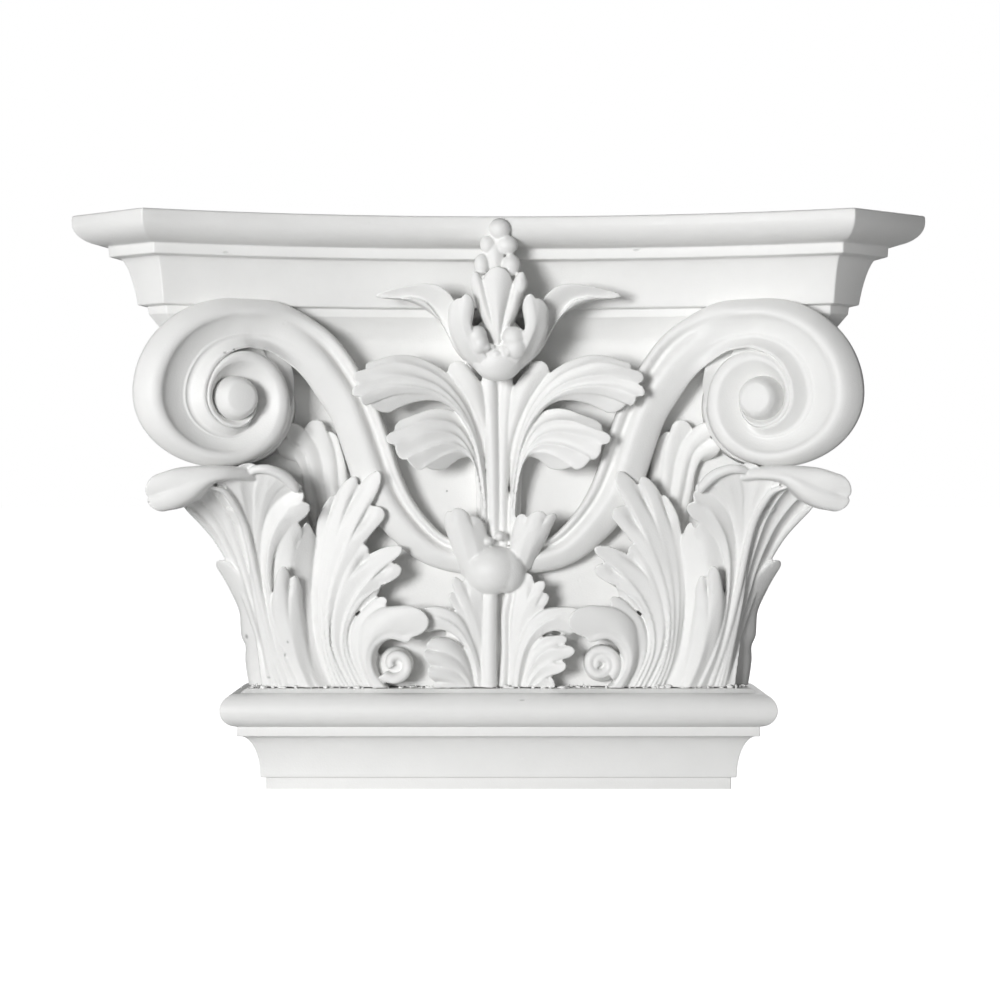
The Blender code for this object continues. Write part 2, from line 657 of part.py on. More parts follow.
def foot_cutter(collection):
    """The box below the joint that leaves the casting with one flat underside."""
    bpy.ops.mesh.primitive_cube_add(size=1.0)
    cutter = bpy.context.object
    cutter.name = "foot_cutter"
    cutter.data.name = "foot_cutter"
    size = np.array([ABACUS_WIDTH, 2 * HORN_REACH, 4 * FOOT_SPARE]) * METRES
    for vertex in cutter.data.vertices:
        vertex.co = [vertex.co[axis] * size[axis] for axis in range(3)]
    cutter.location = (0.0, 0.0, (bell_foot() - 2 * FOOT_SPARE) * METRES)
    for owner in list(cutter.users_collection):
        owner.objects.unlink(cutter)
    collection.objects.link(cutter)
    cutter.hide_render = True
    cutter.display_type = "WIRE"
    return cutter


def main():
    """Clears the scene, then makes the capital and the neck moulding."""
    for old in list(bpy.data.objects):
        bpy.data.objects.remove(old, do_unlink=True)
    parts = bpy.data.collections.new("pilaster_capital")
    shapes = bpy.data.collections.new("joined_shapes")
    bpy.context.scene.collection.children.link(parts)
    cutters = bpy.data.collections.new("cutters")
    bpy.context.scene.collection.children.link(shapes)
    bpy.context.scene.collection.children.link(cutters)

    capital = bell_and_abacus(parts)
    capital.name = "capital"
    carve(shapes)
    for shape in shapes.objects:
        shape.hide_render = True
        shape.display_type = "WIRE"
    for shape in list(shapes.objects):
        if not shape.name.startswith(ON_THE_MIDDLE):
            twin(shape, shapes)
    join = capital.modifiers.new("join_carving", "BOOLEAN")
    join.operation = "UNION"
    join.operand_type = "COLLECTION"
    join.collection = shapes
    join.solver = "MANIFOLD"
    flat = capital.modifiers.new("flat_underside", "BOOLEAN")
    flat.operation = "DIFFERENCE"
    flat.object = foot_cutter(cutters)
    flat.solver = "MANIFOLD"
    keep_one_body(capital)

    neck = loft("neck_moulding", [neck_ring(out, height) for out, height in neck_profile()], parts)
    for piece in (capital, neck):
        piece.data.materials.append(plaster())


main()
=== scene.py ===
"""Dresses a cast plaster pilaster capital and its neck moulding, and sets up a plain studio round them.

Sizes are in millimetres until a mesh is written. A point is its X, its reach from the wall and its height.
Carving is placed as it is seen from the front, in a picture of 1000 by 1000: a column, a row, and its relief
in millimetres before the ground plane of the bell. The left half is modelled, and the right is its mirror
image with small differences of its own.
"""

import logging
import math
from dataclasses import dataclass
from enum import Enum

import bmesh
import bpy
import numpy as np
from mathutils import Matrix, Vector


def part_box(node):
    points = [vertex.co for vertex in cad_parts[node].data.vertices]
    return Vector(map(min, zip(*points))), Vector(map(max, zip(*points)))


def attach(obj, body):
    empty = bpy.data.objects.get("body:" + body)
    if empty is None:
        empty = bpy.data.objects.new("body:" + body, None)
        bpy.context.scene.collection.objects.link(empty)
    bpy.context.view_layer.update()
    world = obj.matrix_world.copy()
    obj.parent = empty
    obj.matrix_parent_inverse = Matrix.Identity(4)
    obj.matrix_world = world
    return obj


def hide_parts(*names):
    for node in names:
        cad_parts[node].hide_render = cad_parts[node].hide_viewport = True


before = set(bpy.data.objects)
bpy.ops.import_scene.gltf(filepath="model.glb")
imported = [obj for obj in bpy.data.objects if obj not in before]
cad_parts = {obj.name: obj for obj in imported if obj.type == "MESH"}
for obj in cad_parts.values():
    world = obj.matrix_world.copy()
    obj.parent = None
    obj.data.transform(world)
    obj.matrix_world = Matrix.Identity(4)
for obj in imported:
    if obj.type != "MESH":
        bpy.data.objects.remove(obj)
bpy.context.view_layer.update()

METRES = 0.001
BODY = "root"
CAPITAL_LOW, CAPITAL_HIGH = (np.array(corner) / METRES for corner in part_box("capital"))
WALL_Y, JOINT, TOP = float(CAPITAL_HIGH[1]), float(CAPITAL_LOW[2]), float(CAPITAL_HIGH[2])
# Where the bell's ground plane and the carving's roots lie, the relief of a bed's back face, and the angle
# that the end rings of a ball keep from its poles.
GROUND_REACH = 56.0
ROOT_REACH = GROUND_REACH - 4.0
BED_BACK = -6.0
POLE_GAP = 0.06
SHARP_CORNER = math.radians(55)
LOG = logging.getLogger("pilaster_capital")
Place = tuple[float, float, float]
Route = tuple[Place, ...]
Pair = tuple[float, float]
Pairs = tuple[Pair, ...]
Ovals = tuple[tuple[Place, Place], ...]


class Side(Enum):
    """Which half of the capital a piece belongs to."""

    LEFT = -1
    RIGHT = 1

    def placed(self, skin: "Skin") -> "Skin":
        """A skin of the left half as it lies on this half."""
        return skin if self is Side.LEFT else skin.mirrored()

    def named(self, piece: str) -> str:
        """A piece's name with its side."""
        return f"{piece}_{self.name.lower()}"


class Section(Enum):
    """The cut across one leaflet of a lobe."""

    GOUGE = "gouge"
    ROUND = "round"


@dataclass(frozen=True)
class Picture:
    """The front view that the carving is placed in, a level camera straight ahead of the capital."""

    size: int = 1000
    lens: float = 100.0
    sensor: float = 36.0
    plane_reach: float = 60.0
    distance: float = 1194.0
    eye_height: float = 124.3
    middle_column: float = 498.5

    @property
    def scale(self) -> float:
        """Millimetres of one picture unit at the plane's reach."""
        return self.distance * self.sensor / self.lens / self.size

    @property
    def camera_x(self) -> float:
        """The camera's distance to the right of the capital's middle."""
        return (self.size / 2 - self.middle_column) * self.scale

    def place(self, seen: np.ndarray) -> np.ndarray:
        """Turns columns, rows and reliefs into X, reach and height, along the camera's own rays.

        Args:
            seen: rows of column, row and relief.

        Returns:
            Rows of X, reach and height in millimetres.
        """
        seen = np.asarray(seen, float)
        reach = GROUND_REACH + seen[:, 2]
        shrink = self.scale * (1 - (reach - self.plane_reach) / self.distance)
        across = (seen[:, 0] - self.middle_column) * shrink
        height = self.eye_height + (self.size / 2 - seen[:, 1]) * shrink
        return np.column_stack([across, reach, height])


PICTURE = Picture()


def unit(vectors: np.ndarray) -> np.ndarray:
    """Each row made one long."""
    return vectors / np.maximum(np.linalg.norm(vectors, axis=-1, keepdims=True), 1e-9)


def smooth_step(share: np.ndarray) -> np.ndarray:
    """A share kept from 0 to 1 as 3 share^2 - 2 share^3, which starts and ends level."""
    share = np.clip(share, 0.0, 1.0)
    return share * share * (3 - 2 * share)


def full_turn(sides: int) -> np.ndarray:
    """Even angles once round, without the last, which would repeat the first."""
    return np.linspace(0.0, 2 * math.pi, sides, endpoint=False)


def at_height(plan: np.ndarray, height: float) -> np.ndarray:
    """A plan of X and reach as a ring at one height."""
    return np.column_stack([plan, np.full(len(plan), height)])


def seen_path(route: Route, stations: int) -> np.ndarray:
    """A route of seen places as a smooth path in millimetres."""
    return smooth_path(PICTURE.place(np.array(route)), stations)


def loosened(share: np.ndarray, free: float) -> np.ndarray:
    """How far a leaf has left the ground: the 0.7th power of the way from its free share to its end."""
    return np.clip((share - free) / max(1.0 - free, 1e-6), 0.0, 1.0) ** 0.7


def smooth_path(points: np.ndarray, stations: int) -> np.ndarray:
    """A centripetal Hermite curve through the points, read at evenly spread stations.

    The knots lie the square root of each step apart, and each slope is the gradient over its two neighbours.

    Args:
        points: rows of coordinates that the curve passes through.
        stations: how many rows to read.

    Returns:
        An array of stations rows.
    """
    points = np.asarray(points, float)
    steps = np.sqrt(np.linalg.norm(np.diff(points, axis=0), axis=1))
    knots = np.concatenate([[0.0], np.cumsum(steps)])
    slopes = np.gradient(points, knots, axis=0)
    where = np.linspace(knots[0], knots[-1], stations)
    piece = np.clip(np.searchsorted(knots, where, side="right") - 1, 0, len(knots) - 2)
    span = (knots[piece + 1] - knots[piece])[:, None]
    t = (where - knots[piece])[:, None] / span
    return (
        (2 * t**3 - 3 * t**2 + 1) * points[piece]
        + (t**3 - 2 * t**2 + t) * span * slopes[piece]
        + (3 * t**2 - 2 * t**3) * points[piece + 1]
        + (t**3 - t**2) * span * slopes[piece + 1]
    )


def eased(points: np.ndarray, share: float = 0.3, most: float = 0.6, steps: int = 4) -> np.ndarray:
    """An open outline with every inner corner rounded by a quadratic curve.

    A corner is cut back along both its sides by a share of the side's length, at most a given distance, and
    the curve (1-t)^2 start + 2t(1-t) corner + t^2 end joins the two cuts.

    Args:
        points: rows of the outline.
        share: part of each side that a corner may use.
        most: longest cut.
        steps: points on each rounded corner.

    Returns:
        The outline with its rounded corners.
    """
    points = np.asarray(points, float)
    before, corner, after = points[:-2], points[1:-1], points[2:]
    to_before, to_after = before - corner, after - corner
    cut_before = np.minimum(np.linalg.norm(to_before, axis=1) * share, most)[:, None]
    cut_after = np.minimum(np.linalg.norm(to_after, axis=1) * share, most)[:, None]
    start = corner + unit(to_before) * cut_before
    end = corner + unit(to_after) * cut_after
    t = np.linspace(0.0, 1.0, steps)[None, :, None]
    curve = (1 - t) ** 2 * start[:, None] + 2 * t * (1 - t) * corner[:, None] + t**2 * end[:, None]
    return np.vstack([points[:1], curve.reshape(-1, points.shape[1]), points[-1:]])


@dataclass
class Skin:
    """A closed surface in millimetres: points of X, reach and height, and triangles of their indices."""

    points: np.ndarray
    triangles: np.ndarray

    @classmethod
    def loft(cls, rings: np.ndarray) -> "Skin":
        """A skin carried through equal closed rings, with a fan over each end.

        Args:
            rings: an array of rings by points by coordinates.

        Returns:
            The closed skin.
        """
        rows, sides, _ = rings.shape
        index = np.arange(rows * sides).reshape(rows, sides)
        beside = np.roll(index, -1, axis=1)
        low, low_beside, high, high_beside = index[:-1], beside[:-1], index[1:], beside[1:]
        first, last = rows * sides, rows * sides + 1
        triangles = np.concatenate([
            np.stack([low, low_beside, high_beside], -1).reshape(-1, 3),
            np.stack([low, high_beside, high], -1).reshape(-1, 3),
            np.stack([beside[0], index[0], np.full(sides, first)], -1),
            np.stack([index[-1], beside[-1], np.full(sides, last)], -1),
        ])
        points = np.vstack([rings.reshape(-1, 3), rings[0].mean(axis=0), rings[-1].mean(axis=0)])
        return cls(points, triangles)

    @classmethod
    def sheet(cls, front: np.ndarray, back: np.ndarray) -> "Skin":
        """A skin between two equal grids, the front and the back of a sheet, with a strip round their rims.

        Args:
            front: an array of rows by columns by coordinates.
            back: the same for the side towards the wall.

        Returns:
            The closed skin.
        """
        rows, columns, _ = front.shape
        count = rows * columns
        index = np.arange(count).reshape(rows, columns)
        low, low_beside, high_beside, high = index[:-1, :-1], index[:-1, 1:], index[1:, 1:], index[1:, :-1]
        face = np.concatenate([
            np.stack([low, low_beside, high_beside], -1).reshape(-1, 3),
            np.stack([low, high_beside, high], -1).reshape(-1, 3),
        ])
        rim = np.concatenate([index[0], index[1:, -1], index[-1, -2::-1], index[-2:0:-1, 0]])
        after = np.roll(rim, -1)
        walls = np.concatenate([
            np.stack([rim, rim + count, after + count], -1), np.stack([rim, after + count, after], -1),
        ])
        points = np.vstack([front.reshape(-1, 3), back.reshape(-1, 3)])
        return cls(points, np.concatenate([face, face[:, ::-1] + count, walls]))

    @classmethod
    def joined(cls, skins: list["Skin"]) -> "Skin":
        """Several skins as one set of points and triangles, each of them turned outwards.

        Args:
            skins: closed skins, which may overlap.

        Returns:
            The joined skin.
        """
        starts = np.cumsum([0] + [len(skin.points) for skin in skins[:-1]])
        triangles = [skin.outward().triangles + start for skin, start in zip(skins, starts)]
        return cls(np.vstack([skin.points for skin in skins]), np.vstack(triangles))

    def mirrored(self) -> "Skin":
        """The skin's mirror image on the other half."""
        return Skin(self.points * (-1.0, 1.0, 1.0), self.triangles[:, ::-1])

    def above(self, level: float) -> "Skin":
        """The skin with whatever lies below a level pressed flat onto it.

        Args:
            level: the lowest height that stays.

        Returns:
            The pressed skin.
        """
        points = self.points.copy()
        points[:, 2] = np.maximum(points[:, 2], level)
        return Skin(points, self.triangles)

    def world(self) -> np.ndarray:
        """The points in metres, in the frame's own axes."""
        return (self.points * (1.0, -1.0, 1.0) + (0.0, WALL_Y, 0.0)) * METRES

    def outward(self) -> "Skin":
        """The skin turned so that the space inside counts as positive, by the sum of the signed cones.

        Returns:
            The skin itself, or one with its triangles reversed.
        """
        corners = self.world()[self.triangles]
        cones = np.einsum("ij,ij->i", corners[:, 0], np.cross(corners[:, 1], corners[:, 2]))
        return self if cones.sum() > 0 else Skin(self.points, self.triangles[:, ::-1])

    def mesh(self, name: str) -> bpy.types.Mesh:
        """A Blender mesh of the points and triangles as they are.

        Args:
            name: the mesh's name.

        Returns:
            The new mesh.
        """
        mesh = bpy.data.meshes.new(name)
        mesh.from_pydata(self.world(), [], self.triangles)
        return mesh


def linked(name: str, data: bpy.types.ID) -> bpy.types.Object:
    """A new object of the data, linked to the scene.

    Args:
        name: the object's name.
        data: its mesh, camera or light.

    Returns:
        The new object.
    """
    made = bpy.data.objects.new(name, data)
    bpy.context.scene.collection.objects.link(made)
    return made


def plain_object(name: str, skin: Skin, cornered: bool) -> bpy.types.Object:
    """A skin as an object of its own, smooth shaded.

    Args:
        name: the object's name.
        skin: its shape, facing outwards.
        cornered: whether edges past the sharp corner's angle stay sharp.

    Returns:
        The new object.
    """
    mesh = skin.mesh(name)
    mesh.shade_smooth()
    if cornered:
        mesh.set_sharp_from_angle(angle=SHARP_CORNER)
    return linked(name, mesh)


@dataclass(frozen=True)
class Casting:
    """How separate carved shapes become one skin of plaster, as a mould would take them."""

    voxel: float = 0.5
    softening: float = 0.5
    rounds: int = 2
    most_triangles: int = 190_000
    fewest_points: int = 60

    def pour(self, name: str, skins: list[Skin]) -> bpy.types.Object:
        """Melts the skins into one, softens it and thins it below the limit.

        Args:
            name: the new object's name.
            skins: closed skins that overlap.

        Returns:
            The new object, linked to the scene.
        """
        work = linked(name, Skin.joined(skins).mesh(name))
        melt = work.modifiers.new("melt", "REMESH")
        melt.mode = "VOXEL"
        melt.voxel_size = self.voxel * METRES
        soften = work.modifiers.new("soften", "SMOOTH")
        soften.factor = self.softening
        soften.iterations = self.rounds
        self._apply(work)
        count = 2 * len(work.data.polygons)
        if count > self.most_triangles:
            thin = work.modifiers.new("thin", "DECIMATE")
            thin.ratio = self.most_triangles / count
            self._apply(work)
        self._drop_specks(work.data)
        work.data.shade_smooth()
        return work

    def _drop_specks(self, mesh: bpy.types.Mesh) -> None:
        """Removes the specks that the voxels leave inside the skin.

        Each point takes the lowest number among its neighbours until nothing changes, so that an island ends
        with one number, and an island of a few points is a speck.

        Args:
            mesh: the casting's mesh, changed in place.
        """
        ends = np.empty(2 * len(mesh.edges), dtype=np.int32)
        mesh.edges.foreach_get("vertices", ends)
        ends = ends.reshape(-1, 2)
        island, grown = None, np.arange(len(mesh.vertices))
        while island is None or not np.array_equal(island, grown):
            island = grown
            lowest, grown = island[ends].min(axis=1), island.copy()
            np.minimum.at(grown, ends[:, 0], lowest)
            np.minimum.at(grown, ends[:, 1], lowest)
            grown = grown[grown]
        specks = np.flatnonzero(np.bincount(island, minlength=len(island))[island] < self.fewest_points)
        body = bmesh.new()
        body.from_mesh(mesh)
        body.verts.ensure_lookup_table()
        bmesh.ops.delete(body, geom=[body.verts[index] for index in specks], context="VERTS")
        body.to_mesh(mesh)
        body.free()

    @staticmethod
    def _apply(work: bpy.types.Object) -> None:
        """Makes the object's evaluated mesh its own and clears its modifiers.

        Args:
            work: the object, changed in place.
        """
        bpy.context.view_layer.update()
        graph = bpy.context.evaluated_depsgraph_get()
        finished = bpy.data.meshes.new_from_object(work.evaluated_get(graph))
        work.modifiers.clear()
        work.data = finished


CASTING = Casting()
SIDE_CASTING = Casting(voxel=0.8, most_triangles=70_000)


@dataclass(frozen=True)
class Flaw:
    """A nick, pit or rubbed mark where the picture shows one: its place, half size and strength."""

    place: Place
    size: Pair
    dark: float = 0.3
    depth: float = 3.0
    reach: float = 11.0

    def middle(self) -> Place:
        """Its place in metres, in the frame's own axes."""
        return tuple(Skin(PICTURE.place(np.array([self.place])), np.empty((0, 3), int)).world()[0])

    def half_sizes(self) -> Place:
        """Its half sizes in metres, in X, in reach and upright."""
        return self.size[0] * METRES, self.reach * METRES, self.size[1] * METRES


FLAWS = (
    Flaw((224, 251, 52), (1.3, 0.5)), Flaw((637, 249, 36), (1.4, 0.4)),
    Flaw((225, 352, 49), (0.9, 0.5), 0.4), Flaw((234, 349, 48), (0.6, 0.4), 0.4),
    Flaw((447, 491, 2), (0.5, 0.5), 0.45, 1.0), Flaw((246, 637, 4), (0.8, 1.1), 0.45),
    Flaw((288, 642, 16), (0.5, 0.6)), Flaw((285, 655, 16), (0.4, 0.8), 0.25),
    Flaw((522, 699, 16), (1.2, 0.3), 0.2), Flaw((149, 502, 50), (1.0, 0.4)),
    Flaw((268, 678, 12), (1.0, 0.5)),
)


@dataclass(frozen=True)
class Grain:
    """The surface of cast plaster, shared by every finish.

    The tone is two sizes of noise round white, and the height is fine grain less the pits, which are the dark
    middles of scattered cells. Each flaw darkens and sinks what lies inside its ellipsoid, by the flaws' edge
    less the length of the distance from its middle over its half sizes, kept from 0 to 1. Each noise has a
    scale and a detail.
    """

    base: tuple[float, float, float, float] = (0.84, 0.84, 0.83, 1.0)
    broad: Pair = (14.0, 3.0)
    middle: Pair = (90.0, 4.0)
    fine: Pair = (1400.0, 2.0)
    swell: float = 1.5
    least_rough: float = 0.40
    rough_range: float = 0.22
    cells: float = 62.0
    pit_edge: Pair = (0.03, 0.06)
    flaw_edge: float = 1.3

    def sockets(self, group: bpy.types.ShaderNodeTree) -> None:
        """Gives the group its inputs Tone, Grain, Pits and Base, and its outputs Color, Roughness and Height.

        Args:
            group: the new group.
        """
        number, color = "NodeSocketFloat", "NodeSocketColor"
        given = (
            ("Tone", number, 0.02), ("Grain", number, 1.0), ("Pits", number, 1.0), ("Base", color, self.base),
        )
        for label, kind, value in given:
            group.interface.new_socket(label, in_out="INPUT", socket_type=kind).default_value = value
        for label, kind in (("Color", color), ("Roughness", number), ("Height", number)):
            group.interface.new_socket(label, in_out="OUTPUT", socket_type=kind)

    def group(self) -> bpy.types.ShaderNodeTree:
        """Builds the node group.

        Returns:
            The group with its sockets and nodes.
        """
        group = bpy.data.node_groups.new("plaster_grain", "ShaderNodeTree")
        self.sockets(group)
        nodes, links = group.nodes, group.links
        given, result = nodes.new("NodeGroupInput"), nodes.new("NodeGroupOutput")
        place = nodes.new("ShaderNodeTexCoord").outputs["Object"]

        def worked(kind: str, operation: str, *values: object) -> bpy.types.Node:
            """A math node of some kind, fed with sockets or plain values in order.

            Args:
                kind: the node's type.
                operation: what it does.
                values: what its inputs get.

            Returns:
                The new node.
            """
            node = nodes.new(kind)
            node.operation = operation
            for socket, value in zip(node.inputs, values):
                if isinstance(value, bpy.types.NodeSocket):
                    links.new(value, socket)
                else:
                    socket.default_value = value
            return node

        def number(operation: str, *values: object) -> bpy.types.NodeSocket:
            """The result of a sum, product or the like of sockets or plain numbers."""
            return worked("ShaderNodeMath", operation, *values).outputs[0]

        def noise(scale_and_detail: Pair) -> bpy.types.NodeSocket:
            """A noise on the object's own place.

            Args:
                scale_and_detail: its scale and its detail.

            Returns:
                The socket of its value.
            """
            node = nodes.new("ShaderNodeTexNoise")
            node.inputs["Scale"].default_value, node.inputs["Detail"].default_value = scale_and_detail
            links.new(place, node.inputs["Vector"])
            return node.outputs["Fac"]

        broad, middle, fine = noise(self.broad), noise(self.middle), noise(self.fine)
        mottle = number("SUBTRACT", number("ADD", broad, middle), 1.0)
        shade = number("MULTIPLY", mottle, given.outputs["Tone"])
        sunk, soiled = 0.0, 0.0
        for flaw in FLAWS:
            away = worked("ShaderNodeVectorMath", "SUBTRACT", place, flaw.middle()).outputs[0]
            measured = worked("ShaderNodeVectorMath", "DIVIDE", away, flaw.half_sizes()).outputs[0]
            length = worked("ShaderNodeVectorMath", "LENGTH", measured).outputs["Value"]
            inside = number("SUBTRACT", self.flaw_edge, length)
            inside.node.use_clamp = True
            sunk = number("ADD", sunk, number("MULTIPLY", inside, flaw.depth))
            soiled = number("ADD", soiled, number("MULTIPLY", inside, flaw.dark))
        tint = worked("ShaderNodeVectorMath", "SCALE", given.outputs["Base"])
        links.new(number("SUBTRACT", number("ADD", 1.0, shade), soiled), tint.inputs["Scale"])
        cells = nodes.new("ShaderNodeTexVoronoi")
        cells.inputs["Scale"].default_value = self.cells
        links.new(place, cells.inputs["Vector"])
        pit = nodes.new("ShaderNodeMapRange")
        pit.inputs["From Min"].default_value, pit.inputs["From Max"].default_value = self.pit_edge
        pit.inputs["To Min"].default_value, pit.inputs["To Max"].default_value = -1.0, 0.0
        links.new(cells.outputs["Distance"], pit.inputs["Value"])
        grain = number("MULTIPLY", fine, given.outputs["Grain"])
        pits = number("MULTIPLY", pit.outputs["Result"], given.outputs["Pits"])
        even = number("ADD", number("ADD", grain, pits), number("MULTIPLY", middle, self.swell))
        rough = number("MULTIPLY_ADD", middle, self.rough_range, self.least_rough)
        links.new(tint.outputs[0], result.inputs["Color"])
        links.new(rough, result.inputs["Roughness"])
        links.new(number("SUBTRACT", even, sunk), result.inputs["Height"])
        return group


@dataclass(frozen=True)
class CastPlaster:
    """White gypsum plaster from a mould, semi-matte, with faint mottling and a few pin holes."""

    name: str
    color: tuple[float, float, float] = (0.84, 0.84, 0.83)
    tone: float = 0.05
    grain: float = 0.5
    pits: float = 0.6
    relief: float = 0.00012
    gloss: float = 0.45

    def material(self, group: bpy.types.ShaderNodeTree) -> bpy.types.Material:
        """The finish as a material.

        Args:
            group: the shared grain group.

        Returns:
            The new material.
        """
        material = bpy.data.materials.new(self.name)
        material.use_nodes = True
        nodes, links = material.node_tree.nodes, material.node_tree.links
        shader = nodes["Principled BSDF"]
        shader.inputs["Metallic"].default_value = 0.0
        shader.inputs["Specular IOR Level"].default_value = self.gloss
        surface = nodes.new("ShaderNodeGroup")
        surface.node_tree = group
        own = {"Tone": self.tone, "Grain": self.grain, "Pits": self.pits, "Base": (*self.color, 1.0)}
        for label, value in own.items():
            surface.inputs[label].default_value = value
        links.new(surface.outputs["Color"], shader.inputs["Base Color"])
        links.new(surface.outputs["Roughness"], shader.inputs["Roughness"])
        bump = nodes.new("ShaderNodeBump")
        bump.inputs["Distance"].default_value = self.relief
        bump.inputs["Strength"].default_value = 1.0
        links.new(surface.outputs["Height"], bump.inputs["Height"])
        links.new(bump.outputs["Normal"], shader.inputs["Normal"])
        return material


@dataclass(frozen=True)
class Dresser:
    """Gives a finished mesh its material and its body, and hides the node that it stands for."""

    plaster: bpy.types.Material
    neck_plaster: bpy.types.Material

    def capital(self, piece: bpy.types.Object) -> bpy.types.Object:
        """Dresses a piece of the capital."""
        return self._dress(piece, self.plaster, "capital", "plaster")

    def neck(self, piece: bpy.types.Object) -> bpy.types.Object:
        """Dresses the neck moulding."""
        return self._dress(piece, self.neck_plaster, "neck_moulding", "neck_plaster")

    @staticmethod
    def _dress(
        piece: bpy.types.Object, material: bpy.types.Material, node: str, slot: str
    ) -> bpy.types.Object:
        """Sets the material, rides the piece on the body and hides the part that it replaces.

        Args:
            piece: the finished piece.
            material: its finish.
            node: the node that it stands for.
            slot: not used.

        Returns:
            The dressed piece.
        """
        piece.data.materials.clear()
        piece.data.materials.append(material)
        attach(piece, BODY)
        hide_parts(node)
        LOG.info("%s: %d triangles", piece.name, sum(len(face.vertices) - 2 for face in piece.data.polygons))
        return piece


@dataclass
class NeckMoulding:
    """The casting below the capital: fillet, cavetto, band and astragal round three sides."""

    width: float = 200.0
    depth: float = 60.0
    fillet: float = 5.2
    cove_rise: float = 18.4
    cove_foot: float = 2.2
    cove_lip: float = 1.0
    band_out: float = 11.4
    band_rise: float = 4.2
    astragal_radius: float = 7.1
    astragal_centre: float = 11.2
    astragal_start: float = 0.12
    cap_out: float = 10.0
    cap_rise: float = 1.8
    cap_slopes: Pair = (1.9, 4.0)
    edge_round: float = 0.45
    edge_steps: int = 3
    corner_round: float = 0.5
    corner_steps: int = 5
    arc_steps: int = 14

    def profile(self) -> np.ndarray:
        """Distance outwards and height, upwards: a quarter ellipse for the cove and a half circle above.

        Returns:
            Rows of distance and height.
        """
        cove_top = self.fillet + self.cove_rise
        band_top = cove_top + self.band_rise
        cap_foot = band_top + 2 * self.astragal_radius
        turn = np.linspace(0.0, math.pi / 2, self.arc_steps)
        lip = self.band_out - self.cove_lip
        cove = np.column_stack([
            self.cove_foot + (lip - self.cove_foot) * (1 - np.cos(turn)),
            self.fillet + self.cove_rise * np.sin(turn),
        ])
        turn = np.linspace(self.astragal_start, math.pi - self.astragal_start, self.arc_steps)
        astragal = np.column_stack([
            self.astragal_centre + self.astragal_radius * np.sin(turn),
            band_top + self.astragal_radius * (1 - np.cos(turn)),
        ])
        corners = [(0.0, 0.0), (0.0, self.fillet), *cove, (self.band_out, cove_top)]
        corners += [(self.band_out, band_top), *astragal, (self.cap_out, cap_foot)]
        corners += [(self.cap_out - slope, cap_foot + self.cap_rise) for slope in self.cap_slopes]
        return eased(np.array(corners), most=self.edge_round, steps=self.edge_steps)

    def plan(self, out: float) -> np.ndarray:
        """X and reach of one ring, with its two front corners a little rounded.

        Args:
            out: how far it stands outside the shaft.

        Returns:
            Rows of X and reach.
        """
        side, front = self.width / 2 + out, self.depth + out
        line = [(-side, 0.0), (-side, front), (side, front), (side, 0.0)]
        return eased(np.array(line), most=self.corner_round, steps=self.corner_steps)

    def build(self, dresser: Dresser) -> bpy.types.Object:
        """Makes and dresses the moulding, one ring at each level of its profile.

        Args:
            dresser: what gives it its material and node.

        Returns:
            The dressed object.
        """
        skin = Skin.loft(np.array([at_height(self.plan(out), height) for out, height in self.profile()]))
        return dresser.neck(plain_object("neck_moulding_cast", skin.outward(), cornered=True))


